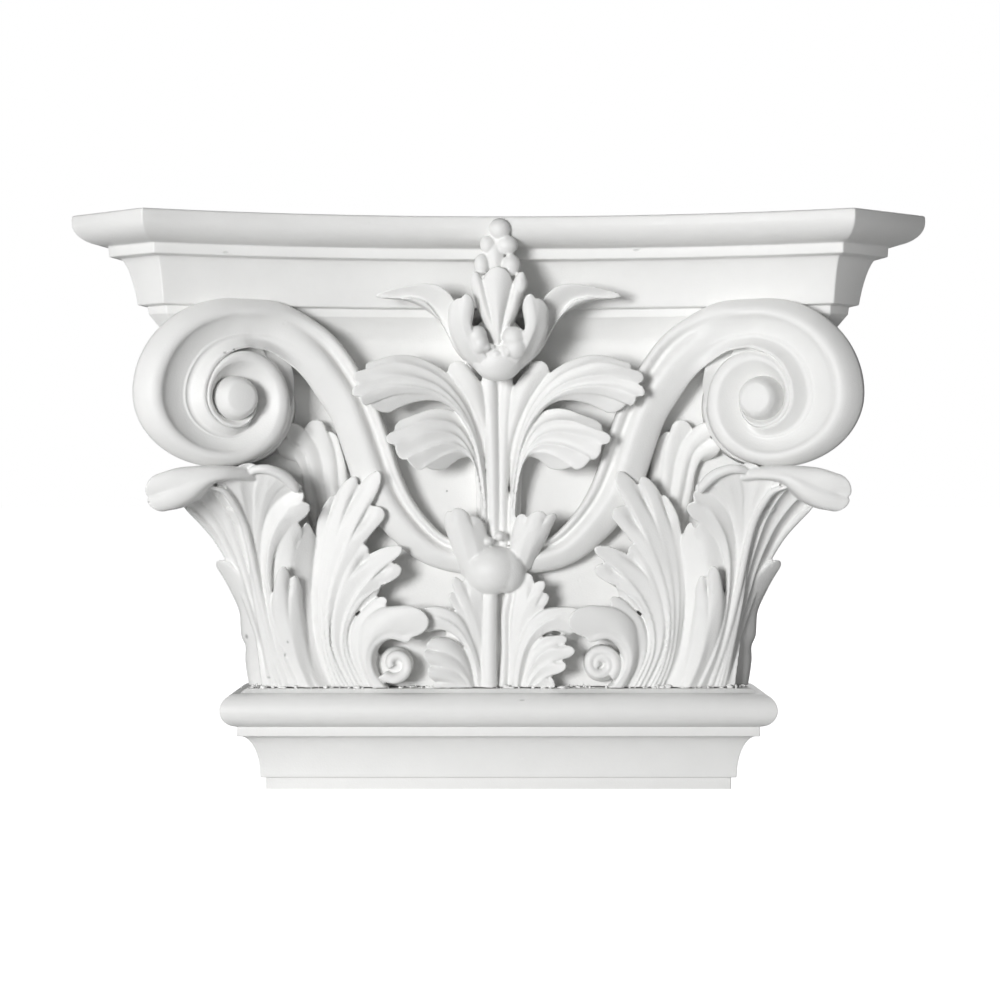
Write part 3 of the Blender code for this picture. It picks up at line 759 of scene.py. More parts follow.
@dataclass
class BellAndAbacus:
    """The plain block under the carving: the bell, and the abacus with its hollow front and cut horns."""

    width: float = 356.0
    front_chord: float = 288.6
    middle_reach: float = 94.6
    horn_reach: float = 130.0
    horn_cut: float = math.radians(45)
    side_recess: float = math.radians(10)
    corner_round: float = 0.7
    corner_steps: int = 5
    edge_share: float = 0.32
    edge_round: float = 0.55
    edge_steps: int = 3
    foot_width: float = 205.0
    foot_reach: float = 58.0
    foot_corner: float = 2.5
    foot_edge: float = 4.0
    flare_power: float = 2.6
    projection: float = 30.0
    nose_corners: Pairs = ((2.5, 0.0), (1.1, 0.0), (0.3, -0.3), (0.0, -1.1), (0.0, -3.0))
    ovolo_top: float = -3.0
    ovolo_drop: float = 9.2
    ovolo_foot: float = 17.4
    fillet_corners: Pairs = ((16.3, -12.7), (16.1, -16.9))
    cove_head: Pair = (12.4, -17.3)
    cove_foot: float = 5.3
    cove_rise: float = 19.5
    cove_straight: float = 0.4
    lip_corners: Pairs = ((1.6, -37.2), (1.2, -40.6), (0.8, -41.0), (-5.0, -48.6))
    arc_steps: int = 14
    front_steps: int = 48
    bell_rings: int = 40

    def plan(self, inward: float) -> np.ndarray:
        """Left half of the plan, from the wall to the middle of the front, offset inwards.

        The front is an arc about (0, middle reach + radius) whose radius grows with the offset. The horn's
        cut and the side are lines moved along their normals, and their crossings are the corners.

        Args:
            inward: distance from the ovolo's nose.

        Returns:
            Rows of X and reach.
        """
        rise = self.horn_reach - self.middle_reach
        radius = ((self.front_chord / 2) ** 2 + rise**2) / (2 * rise)
        centre = np.array([0.0, self.middle_reach + radius])
        corner = np.array([-self.front_chord / 2, self.horn_reach])
        cut_normal = np.array([-math.sin(self.horn_cut), math.cos(self.horn_cut)])
        cut_along = np.array([math.cos(self.horn_cut), math.sin(self.horn_cut)])
        tip = corner - cut_along * (self.width - self.front_chord) / 2 / math.cos(self.horn_cut)
        offset = corner - cut_normal * inward - centre
        middle_term = float(offset @ cut_along)
        rest = float(offset @ offset) - (radius + inward) ** 2
        root = math.sqrt(middle_term**2 - rest)
        slide = min((-middle_term - root, -middle_term + root), key=abs)
        front_corner = offset + centre + cut_along * slide
        side_normal = np.array([-math.cos(self.side_recess), -math.sin(self.side_recess)])
        normals = np.array([cut_normal, side_normal])
        outer_corner = np.linalg.solve(normals, normals @ tip - inward)
        at_wall = np.array([outer_corner[0] + outer_corner[1] * math.tan(self.side_recess), 0.0])
        sweep = math.asin(-front_corner[0] / (radius + inward))
        turns = np.linspace(sweep, 0.0, self.front_steps)
        arc = centre + (radius + inward) * np.column_stack([-np.sin(turns), -np.cos(turns)])
        bends = np.vstack([at_wall, outer_corner, arc[:2]])
        bends = eased(bends, most=self.corner_round, steps=self.corner_steps)
        return np.vstack([bends[:-1], arc[1:]])

    def foot_plan(self) -> np.ndarray:
        """Left half of the bell's foot, with as many points as the abacus plan.

        Returns:
            Rows of X and reach.
        """
        side, front, cut, edge = self.foot_width / 2, self.foot_reach, self.foot_corner, self.foot_edge
        corners = np.array([(-side, 0.0), (-side, front - cut), (-side + cut, front), (-side + edge, front)])
        across = np.linspace(-side + edge, 0.0, self.front_steps - 1)
        line = np.column_stack([across, np.full(len(across), front)])
        corners = eased(corners, most=self.corner_round, steps=self.corner_steps)
        return np.vstack([corners[:-1], line])

    @staticmethod
    def ring(half: np.ndarray, height: float) -> np.ndarray:
        """A whole ring from its left half."""
        return at_height(np.vstack([half, half[-2::-1] * (-1.0, 1.0)]), height)

    def profile(self) -> np.ndarray:
        """Inward distance from the nose and height below the top, from the bell's lip up.

        The ovolo is a quarter ellipse. The cove under it is part quarter ellipse and part straight slope, and
        fillets part them. All but the nose's own corners are measured back from the projection.

        Returns:
            Rows of distance and height.
        """
        nose = self.projection
        turn = np.linspace(0.0, math.pi / 2, self.arc_steps)[1:]
        drop = 1 - np.cos(turn)
        ovolo = np.column_stack([
            (nose - self.ovolo_foot) * drop, self.ovolo_top - self.ovolo_drop * np.sin(turn),
        ])
        head, foot, top = nose - self.cove_head[0], nose - self.cove_foot, self.cove_head[1]
        hollow = np.sin(turn) * (1 - self.cove_straight) + drop * self.cove_straight
        cove = np.column_stack([head + (foot - head) * hollow, top - self.cove_rise * drop])
        corners = [*self.nose_corners, *ovolo, *((nose - back, below) for back, below in self.fillet_corners)]
        corners += [(head, top), *cove, *((nose - back, below) for back, below in self.lip_corners)]
        line = np.array(corners)
        return eased(line, share=self.edge_share, most=self.edge_round, steps=self.edge_steps)[::-1]

    def skin(self) -> Skin:
        """The block as rings: the bell's foot flares into the lip by a power, then follows the profile.

        The last ring is the top one drawn back to the wall, no wider than the block is there.

        Returns:
            The closed skin, facing outwards.
        """
        profile = self.profile()
        lip, foot, lip_height = self.plan(profile[0][0]), self.foot_plan(), TOP + profile[0][1]
        rings = []
        for share in np.linspace(0.0, 1.0, self.bell_rings)[:-1]:
            flare = share**self.flare_power
            rings.append(self.ring(foot * (1 - flare) + lip * flare, JOINT + (lip_height - JOINT) * share))
        rings += [self.ring(self.plan(inward), TOP + below) for inward, below in profile]
        closing = rings[-1].copy()
        closing[:, 0] = np.clip(closing[:, 0], closing[0, 0], closing[-1, 0])
        closing[:, 1] = 0.0
        return Skin.loft(np.array([*rings, closing])).outward()

    def build(self, dresser: Dresser) -> bpy.types.Object:
        """Makes and dresses the block."""
        return dresser.capital(plain_object("bell_and_abacus", self.skin(), cornered=True))


@dataclass
class Volute:
    """The scroll band that climbs from the fruit, and the volute that it winds into round its eye."""

    eye_from_middle: float = 108.1
    eye_height: float = 122.5
    eye_reach: float = 100.0
    turned: float = math.radians(25)
    thickness: float = 27.0
    extremes: Pairs = (
        (0.7, 42.0), (-43.2, 1.8), (-5.3, -28.7), (23.7, -2.6),
        (4.2, 19.8), (-14.3, 1.0), (-0.5, -12.5), (8.9, -0.7),
        (0.0, 8.2), (-8.2, 0.0), (0.0, -8.2), (8.2, 0.0),
    )
    last_quarter: float = 7.0
    inner_lift: float = 2.2
    lift_quarters: Pair = (2.5, 4.5)
    eye_moat: float = 3.2
    moat_quarters: Pair = (5.0, 2.0)
    band_outer: Route = (
        (498, 547, 12), (457, 541, 13), (442, 534, 13.5), (415, 503, 16), (400, 472, 18), (388, 434, 20.5),
        (377, 405, 22.5), (361, 373, 25), (334, 335, 28), (307.5, 314, 32), (282.5, 301, 36.5),
        (245, 297, 43.7),
    )
    band_inner: Route = (
        (498, 577, 12), (442, 570, 13), (413, 557, 14), (374, 520, 16), (358, 494, 18), (345, 456, 20.5),
        (333, 421, 23), (320, 399, 26), (304, 376, 30), (288, 362, 33.5), (269, 350.5, 37.5),
        (248, 346.5, 42),
    )
    volute_section: Pairs = (
        (0.0, -8.0), (0.02, -6.7), (0.06, -4.9), (0.12, -2.8), (0.18, -1.3), (0.245, -0.3), (0.31, -0.3),
        (0.36, -0.7), (0.38, -1.6), (0.46, -3.0), (0.54, -4.1), (0.62, -4.9), (0.70, -5.5), (0.735, -5.6),
        (0.75, -5.1), (0.765, -5.7), (0.83, -4.4), (0.89, -2.9), (0.95, -1.4), (1.0, -0.3),
    )
    turn_section: Pairs = (
        (0.0, -3.4), (0.02, -2.4), (0.06, -1.4), (0.12, -0.6), (0.18, -0.2), (0.25, 0.0), (0.33, 0.0),
        (0.38, -0.2), (0.43, -0.7), (0.50, -1.4), (0.56, -2.0), (0.62, -2.6), (0.68, -3.2), (0.74, -3.8),
        (0.79, -4.3), (0.84, -4.8), (0.89, -5.2), (0.93, -5.6), (0.97, -5.9), (1.0, -6.2),
    )
    band_section: Pairs = (
        (0.0, -2.4), (0.02, -1.2), (0.05, -0.4), (0.09, -0.1), (0.14, -0.4), (0.18, -1.6), (0.21, -2.8),
        (0.26, -3.0), (0.31, -1.8), (0.35, -0.4), (0.40, 0.7), (0.47, 1.4), (0.55, 1.4), (0.63, 1.0),
        (0.71, 0.4), (0.79, -0.3), (0.87, -1.1), (0.93, -2.0), (0.98, -3.0), (1.0, -4.0),
    )
    band_stations: int = 60
    quarter_stations: int = 26
    change_start: float = 0.68
    change_length: float = 0.34
    channel_end: float = 1.8
    turn_length: float = 0.9
    full_width: float = 7.0
    slit: float = 0.08
    slit_length: float = 0.7
    band_sunk: float = 3.0
    inner_keel: float = 0.6
    drum_turn: float = 3.75
    drum_size: float = 0.985
    drum_sides: int = 90
    drum_rings: Pairs = ((-28.0, 0.96), (-27.0, 1.0), (-9.0, 1.0))
    eye_outline: Pairs = (
        (9.7, -12.0), (9.4, -4.0), (8.8, -0.4), (7.9, 2.4), (6.9, 3.8), (6.0, 4.5), (3.0, 4.9), (0.3, 4.9),
    )
    eye_share: float = 0.4
    eye_round: float = 0.8
    round_sides: int = 64
    bolster_radius: float = 29.0
    bolster_waist: float = 6.0
    waist_power: float = 0.8
    bolster_shift: Pair = (-7.0, 6.0)
    bolster_front: float = 16.0
    bolster_stations: int = 40
    wall_gap: float = 0.4

    def face(self, places: np.ndarray) -> np.ndarray:
        """Points of the turned face, turned about the upright through the eye.

        Args:
            places: rows of the distances across, up and out from the eye.

        Returns:
            Rows of X, reach and height.
        """
        places = np.asarray(places, float)
        cosine, sine = math.cos(self.turned), math.sin(self.turned)
        x = -self.eye_from_middle + places[:, 0] * cosine + places[:, 2] * sine
        reach = self.eye_reach - places[:, 0] * sine + places[:, 2] * cosine
        return np.column_stack([x, reach, JOINT + self.eye_height + places[:, 1]])

    def spiral(self, quarters: np.ndarray) -> np.ndarray:
        """The winding edge: a quarter ellipse from each extreme to the next, top, left, bottom and right.

        Args:
            quarters: how many quarter turns each point has wound inwards.

        Returns:
            Rows of the distances across and up from the eye.
        """
        extremes = np.array(self.extremes)
        index = np.clip(quarters.astype(int), 0, len(extremes) - 2)
        turn = ((quarters - index) * math.pi / 2)[:, None]
        here, after = extremes[index], extremes[index + 1]
        upright = (index % 2 == 0)[:, None]
        centre = np.where(
            upright, np.column_stack([here[:, 0], after[:, 1]]), np.column_stack([after[:, 0], here[:, 1]])
        )
        return centre + (here - centre) * np.cos(turn) + (after - centre) * np.sin(turn)

    def lift(self, quarters: np.ndarray) -> np.ndarray:
        """How far the winding edge stands before the face: it rises over the turns and sinks beside the eye.

        Args:
            quarters: how many quarter turns each point has wound inwards.

        Returns:
            One distance for each point.
        """
        spans = (self.lift_quarters, self.moat_quarters)
        rise, fall = (np.clip((quarters - start) / length, 0.0, 1.0) for start, length in spans)
        return self.inner_lift * rise - self.eye_moat * fall

    def band_and_scroll(self) -> Skin:
        """The moulded band: its section is read at each station between the outer and the inner edge.

        Point = outer + share (inner - outer) + height times the outward direction, where share and height run
        along the section. It changes from the band's section to the volute's over the top of the scroll, and
        to the last turn's where the channel ends, and it flattens where the band is narrow. At its start the
        volute stands a slit away from the turn inside it. A ring begins and ends with its keel, behind its
        edges.

        Returns:
            The closed skin.
        """
        quarters = np.linspace(0.0, self.last_quarter, round(self.last_quarter * self.quarter_stations) + 1)
        slit = 1 + self.slit * np.clip(1 - quarters / self.slit_length, 0.0, 1.0)[:, None]
        winding = self.face(np.column_stack([self.spiral(quarters), self.lift(quarters)]))
        one_turn_in = quarters + 4.0
        turn_inside = self.face(np.column_stack([self.spiral(one_turn_in) * slit, self.lift(one_turn_in)]))
        outer = np.vstack([seen_path(self.band_outer, self.band_stations)[:-1], winding])
        inner = np.vstack([seen_path(self.band_inner, self.band_stations)[:-1], turn_inside])
        count = len(outer)
        lead = np.arange(count) / (self.band_stations - 1)
        turn = self.turned * np.clip(lead, 0.0, 1.0) ** 2
        outward = np.column_stack([np.sin(turn), np.cos(turn), np.zeros(count)])
        quarter = np.concatenate([np.zeros(self.band_stations - 1), quarters])
        change = smooth_step((lead - self.change_start) / self.change_length)[:, None]
        inmost = smooth_step((quarter - self.channel_end) / self.turn_length)[:, None]
        band, volute, last = np.array([self.band_section, self.volute_section, self.turn_section])
        shares, heights = (
            (band[:, axis] * (1 - change) + volute[:, axis] * change) * (1 - inmost) + last[:, axis] * inmost
            for axis in range(2)
        )
        fullness = np.linalg.norm(inner - outer, axis=1) / self.full_width
        heights = heights * np.clip(fullness, 0.0, 1.0)[:, None]
        sunk = GROUND_REACH - self.band_sunk - outer[:, 1]
        keel = np.where(np.arange(count) < self.band_stations, sunk, -self.thickness)
        keel = np.maximum(keel, -self.thickness)[:, None]
        shares = np.hstack([np.zeros((count, 1)), shares, np.ones((count, 1))])
        heights = np.hstack([keel, heights, keel * self.inner_keel])
        rings = (
            outer[:, None]
            + (inner - outer)[:, None] * shares[:, :, None]
            + outward[:, None] * heights[:, :, None]
        )
        for edge, row, depth in ((outer, 0, keel), (inner, -1, keel * self.inner_keel)):
            rings[:, row] = edge + np.column_stack([np.zeros(count), depth, np.zeros(count)])
        return Skin.loft(rings)

    def drum(self) -> Skin:
        """The body behind the channel, the winding edge's first turn drawn back.

        Returns:
            The closed skin.
        """
        wound = self.spiral(np.linspace(0.0, self.drum_turn, self.drum_sides)) * self.drum_size
        edge = self.face(np.column_stack([wound, np.zeros(self.drum_sides)]))
        middle = edge.mean(axis=0)
        rings = [
            (edge - middle) * (size, 1.0, size) + middle + (0.0, out, 0.0) for out, size in self.drum_rings
        ]
        return Skin.loft(np.array(rings))

    def eye(self) -> Skin:
        """The eye, a button turned about its own axis.

        Returns:
            The closed skin.
        """
        turns = full_turn(self.round_sides)
        circle = np.column_stack([np.cos(turns), np.sin(turns)])
        outline = eased(np.array(self.eye_outline), share=self.eye_share, most=self.eye_round)
        return Skin.loft(np.array([self.face(at_height(circle * radius, out)) for radius, out in outline]))

    def bolster(self) -> Skin:
        """The waisted roll from the back of the volute to the wall, a circle narrowed by a power of a sine.

        Returns:
            The closed skin.
        """
        turns = full_turn(self.round_sides)
        stations = np.linspace(0.0, 1.0, self.bolster_stations)
        radius = self.bolster_radius - self.bolster_waist * np.sin(math.pi * stations) ** self.waist_power
        front = self.eye_reach - self.bolster_front
        x = -self.eye_from_middle + self.bolster_shift[0] + radius[:, None] * np.cos(turns)
        z = JOINT + self.eye_height + self.bolster_shift[1] + radius[:, None] * np.sin(turns)
        reach = np.broadcast_to((self.wall_gap + (front - self.wall_gap) * stations)[:, None], x.shape)
        return Skin.loft(np.stack([x, reach, z], axis=-1))

    def build(self, dresser: Dresser, side: Side) -> bpy.types.Object:
        """Makes and dresses the volute of one side.

        Args:
            dresser: what gives it its material and node.
            side: the half that it belongs to.

        Returns:
            The dressed object.
        """
        skin = Skin.joined([self.band_and_scroll(), self.drum(), self.eye(), self.bolster()])
        return dresser.capital(plain_object(side.named("volute"), side.placed(skin), cornered=False))


@dataclass
class Finger:
    """One finger of a leaf: a round cut carried along a route, and closed by a rounded tip."""

    route: Route
    widths: tuple[float, float, float, float]
    depth: float
    free: float = 1.0
    tip: float = 0.16
    wall: float = 3.0
    edge_fall: float = 0.15
    edge_power: int = 8
    width_shares: tuple[float, float, float, float] = (0.0, 0.4, 0.75, 1.0)
    base_share: float = 0.86
    tip_power: float = 2.2
    tip_least: float = 0.0015
    stations: int = 44
    across_steps: int = 15

    def half_width(self, share: np.ndarray) -> np.ndarray:
        """Half width along the route: straight between its four widths, and closed by a rounded tip.

        The tip is the root of 1 less a power of the way into it.

        Args:
            share: the way along the route, from 0 to 1.

        Returns:
            One half width for each share.
        """
        body = np.interp(share, self.width_shares, self.widths)
        closing = np.clip((share - 1.0 + self.tip) / self.tip, 0.0, 1.0)
        return body * np.sqrt(np.maximum(1.0 - closing**self.tip_power, self.tip_least))

    def skin(self) -> Skin:
        """The finger as rings of its cut.

        Across the front s runs from -1 to 1, and the face is depth (1 - s^2) times the half width high, less
        at the edges by a high power of s. The sides fall from the edges to the keel, which is the bell's
        ground at the root and a wall's thickness behind the face where the finger is free.

        Returns:
            The closed skin.
        """
        path = seen_path(self.route, self.stations)
        share = np.linspace(0.0, 1.0, self.stations)
        along = unit(np.gradient(path, axis=0))
        outward = unit(np.array([0.0, 1.0, 0.0]) - along * along[:, 1:2])
        across = np.cross(along, outward)
        half = self.half_width(share)
        s = -np.cos(np.linspace(0.0, math.pi, self.across_steps))
        height = self.depth * (1.0 - s**2) - self.edge_fall * np.abs(s) ** self.edge_power
        front = path[:, None] + across[:, None] * (half[:, None] * s)[:, :, None]
        front = front + outward[:, None] * (half[:, None] * height)[:, :, None]
        left_base = path - across * (half * self.base_share)[:, None] - outward * self.wall
        right_base = path + across * (half * self.base_share)[:, None] - outward * self.wall
        loose = loosened(share, self.free)
        for base in (left_base, right_base):
            ground = np.minimum(base[:, 1], ROOT_REACH)
            base[:, 1] = ground * (1 - loose) + base[:, 1] * loose
        rings = np.concatenate([left_base[:, None], front, right_base[:, None]], axis=1)
        return Skin.loft(rings).above(JOINT)


def ball(centre: Place, radii: Place, sides: int = 28) -> Skin:
    """A bead or an egg at a seen place: radii across, along the wall's normal and upright.

    Args:
        centre: column, row and relief of its middle.
        radii: half its size in X, in reach and in height.
        sides: points round it.

    Returns:
        The closed skin, with its poles on the line from the wall.
    """
    middle = PICTURE.place(np.array([centre]))[0]
    turns = full_turn(sides)
    tilts = np.linspace(POLE_GAP, math.pi - POLE_GAP, sides // 2)[:, None]
    x = middle[0] + radii[0] * np.sin(tilts) * np.cos(turns)
    z = middle[2] + radii[2] * np.sin(tilts) * np.sin(turns)
    reach = np.broadcast_to(middle[1] + radii[1] * np.cos(tilts), x.shape)
    return Skin.loft(np.stack([x, reach, z], axis=-1))


def bed(outline: Pairs, relief: float) -> Skin:
    """The low ground of plaster under a group of leaves, a flat shape drawn out to one relief.

    Args:
        outline: columns and rows of its corners.
        relief: how far its face stands before the ground plane.

    Returns:
        The closed skin.
    """
    corners = np.array(outline, float)
    front = PICTURE.place(at_height(corners, relief))
    back = PICTURE.place(at_height(corners, BED_BACK))
    return Skin.loft(np.stack([back, front])).above(JOINT)


@dataclass(frozen=True)
class Curl:
    """A curled tip: a tube wound round a centre, whose radius shrinks as it winds.

    Its angles are in degrees, from the right and anticlockwise.
    """

    start: float
    end: float
    shrink: float
    centre: Place = (396, 664, 14)
    radius: float = 6.9
    tube: float = 2.3
    tube_end: float = 0.8
    stations: int = 60
    sides: int = 12

    def skin(self) -> Skin:
        """The tube's front half and its fall to the ground: centre + radius(turn) spoke + half circle.

        Returns:
            The closed skin.
        """
        middle = PICTURE.place(np.array([self.centre]))[0]
        turns = np.radians(np.linspace(self.start, self.end, self.stations))
        grown = self.radius * np.linspace(1.0, self.shrink, self.stations)
        spoke = np.column_stack([np.cos(turns), np.zeros(self.stations), np.sin(turns)])
        line = middle + spoke * grown[:, None]
        around = np.linspace(0.0, math.pi, self.sides)
        thick = (self.tube * np.linspace(1.0, self.tube_end, self.stations))[:, None]
        side, out = np.cos(around) * thick, np.sin(around) * thick
        front = line[:, None] + spoke[:, None] * side[:, :, None]
        front[:, :, 1] += out
        keel = front[:, [-1, 0]].copy()
        keel[:, :, 1] = ROOT_REACH
        return Skin.loft(np.concatenate([front, keel], axis=1)).above(JOINT)


FLUTE_CUT = {Section.GOUGE: (-1.0, 0.65), Section.ROUND: (1.0, 0.7)}


@dataclass(frozen=True)
class Lobe:
    """One lobe of a leaf: a fluted surface between two edges, closed by a row of leaflet tips.

    The edges run from the root to the lobe's outer notches. The margin holds the tips, and the notches
    between them, in turn.
    """

    left: Route
    right: Route
    margin: Route
    section: Section = Section.GOUGE
    depth: float = 0.24
    crown: float = 1.0
    drop: float = 1.2
    eye: float = 1.6
    free: float = 1.0
    wall: float = 3.0
    reach_in: float = 2.5
    edge_power: int = 8
    eye_place: float = 0.93
    eye_size: Pair = (0.17, 0.05)
    stations: int = 40
    flute_steps: int = 12

    @property
    def flutes(self) -> int:
        """How many leaflets the lobe has."""
        return (len(self.margin) + 1) // 2

    def outline(self, across: np.ndarray, corners: np.ndarray) -> np.ndarray:
        """The scalloped margin: a half ellipse from notch to notch through each tip.

        Point = middle - cos(turn) (half the step between the notches) + sin(turn) (tip - middle).

        Args:
            across: shares from the left edge to the right.
            corners: left notch, tip, notch and so on to the right notch.

        Returns:
            One row of coordinates for each share.
        """
        notches, tips = corners[0::2], corners[1::2]
        leaflet = np.minimum((across * self.flutes).astype(int), self.flutes - 1)
        turn = (math.pi * (across * self.flutes - leaflet))[:, None]
        before, after = notches[leaflet], notches[leaflet + 1]
        middle = (before + after) / 2
        return middle - (after - before) / 2 * np.cos(turn) + (tips[leaflet] - middle) * np.sin(turn)

    def front(self) -> np.ndarray:
        """The carved face on a grid of u from the root to the tips and v across.

        Point = (1-v) left(u) + v right(u) + u^k (margin(v) - (1-v) left(1) - v right(1)). The flutes are a
        power of 1 - cos^2(pi v flutes) deep or high, times a share of a leaflet's width, on a crown of
        4v(1-v), and both edges fall away by the eighth power of 2v - 1. Each inner notch has its eye, a
        bell-shaped drilled pit.

        Returns:
            An array of u by v by coordinates.
        """
        u = np.linspace(0.0, 1.0, self.stations)
        v = np.linspace(0.0, 1.0, self.flutes * self.flute_steps + 1)
        left, right = seen_path(self.left, self.stations), seen_path(self.right, self.stations)
        corners = np.vstack([left[-1:], PICTURE.place(np.array(self.margin)), right[-1:]])
        across = v[None, :, None]
        ruled = left[:, None] * (1 - across) + right[:, None] * across
        grid = ruled + (u[:, None, None] ** self.reach_in) * (self.outline(v, corners) - ruled[-1])
        width = np.linalg.norm(grid[:, -1] - grid[:, 0], axis=-1)[:, None]
        ridge = np.cos(math.pi * v * self.flutes) ** 2
        way, power = FLUTE_CUT[self.section]
        grid[:, :, 1] += width / self.flutes * self.depth * (way * (1 - ridge) ** power)
        eye_across, eye_along = self.eye_size
        for notch in range(1, self.flutes):
            beside, along = (v * self.flutes - notch) / eye_across, (u[:, None] - self.eye_place) / eye_along
            grid[:, :, 1] -= self.eye * np.exp(-(beside**2 + along**2))
        grid[:, :, 1] += self.crown * 4 * v * (1 - v) - self.drop * np.abs(2 * v - 1) ** self.edge_power
        return grid

    def skin(self) -> Skin:
        """The lobe as a sheet: filled down to the ground at its root, and a wall thick where it is free.

        Returns:
            The closed skin.
        """
        front = self.front()
        back = front.copy()
        sheet = front[:, :, 1] - self.wall
        loose = loosened(np.linspace(0.0, 1.0, self.stations)[:, None], self.free)
        back[:, :, 1] = np.minimum(sheet, ROOT_REACH) * (1 - loose) + sheet * loose
        return Skin.sheet(front, back).above(JOINT)


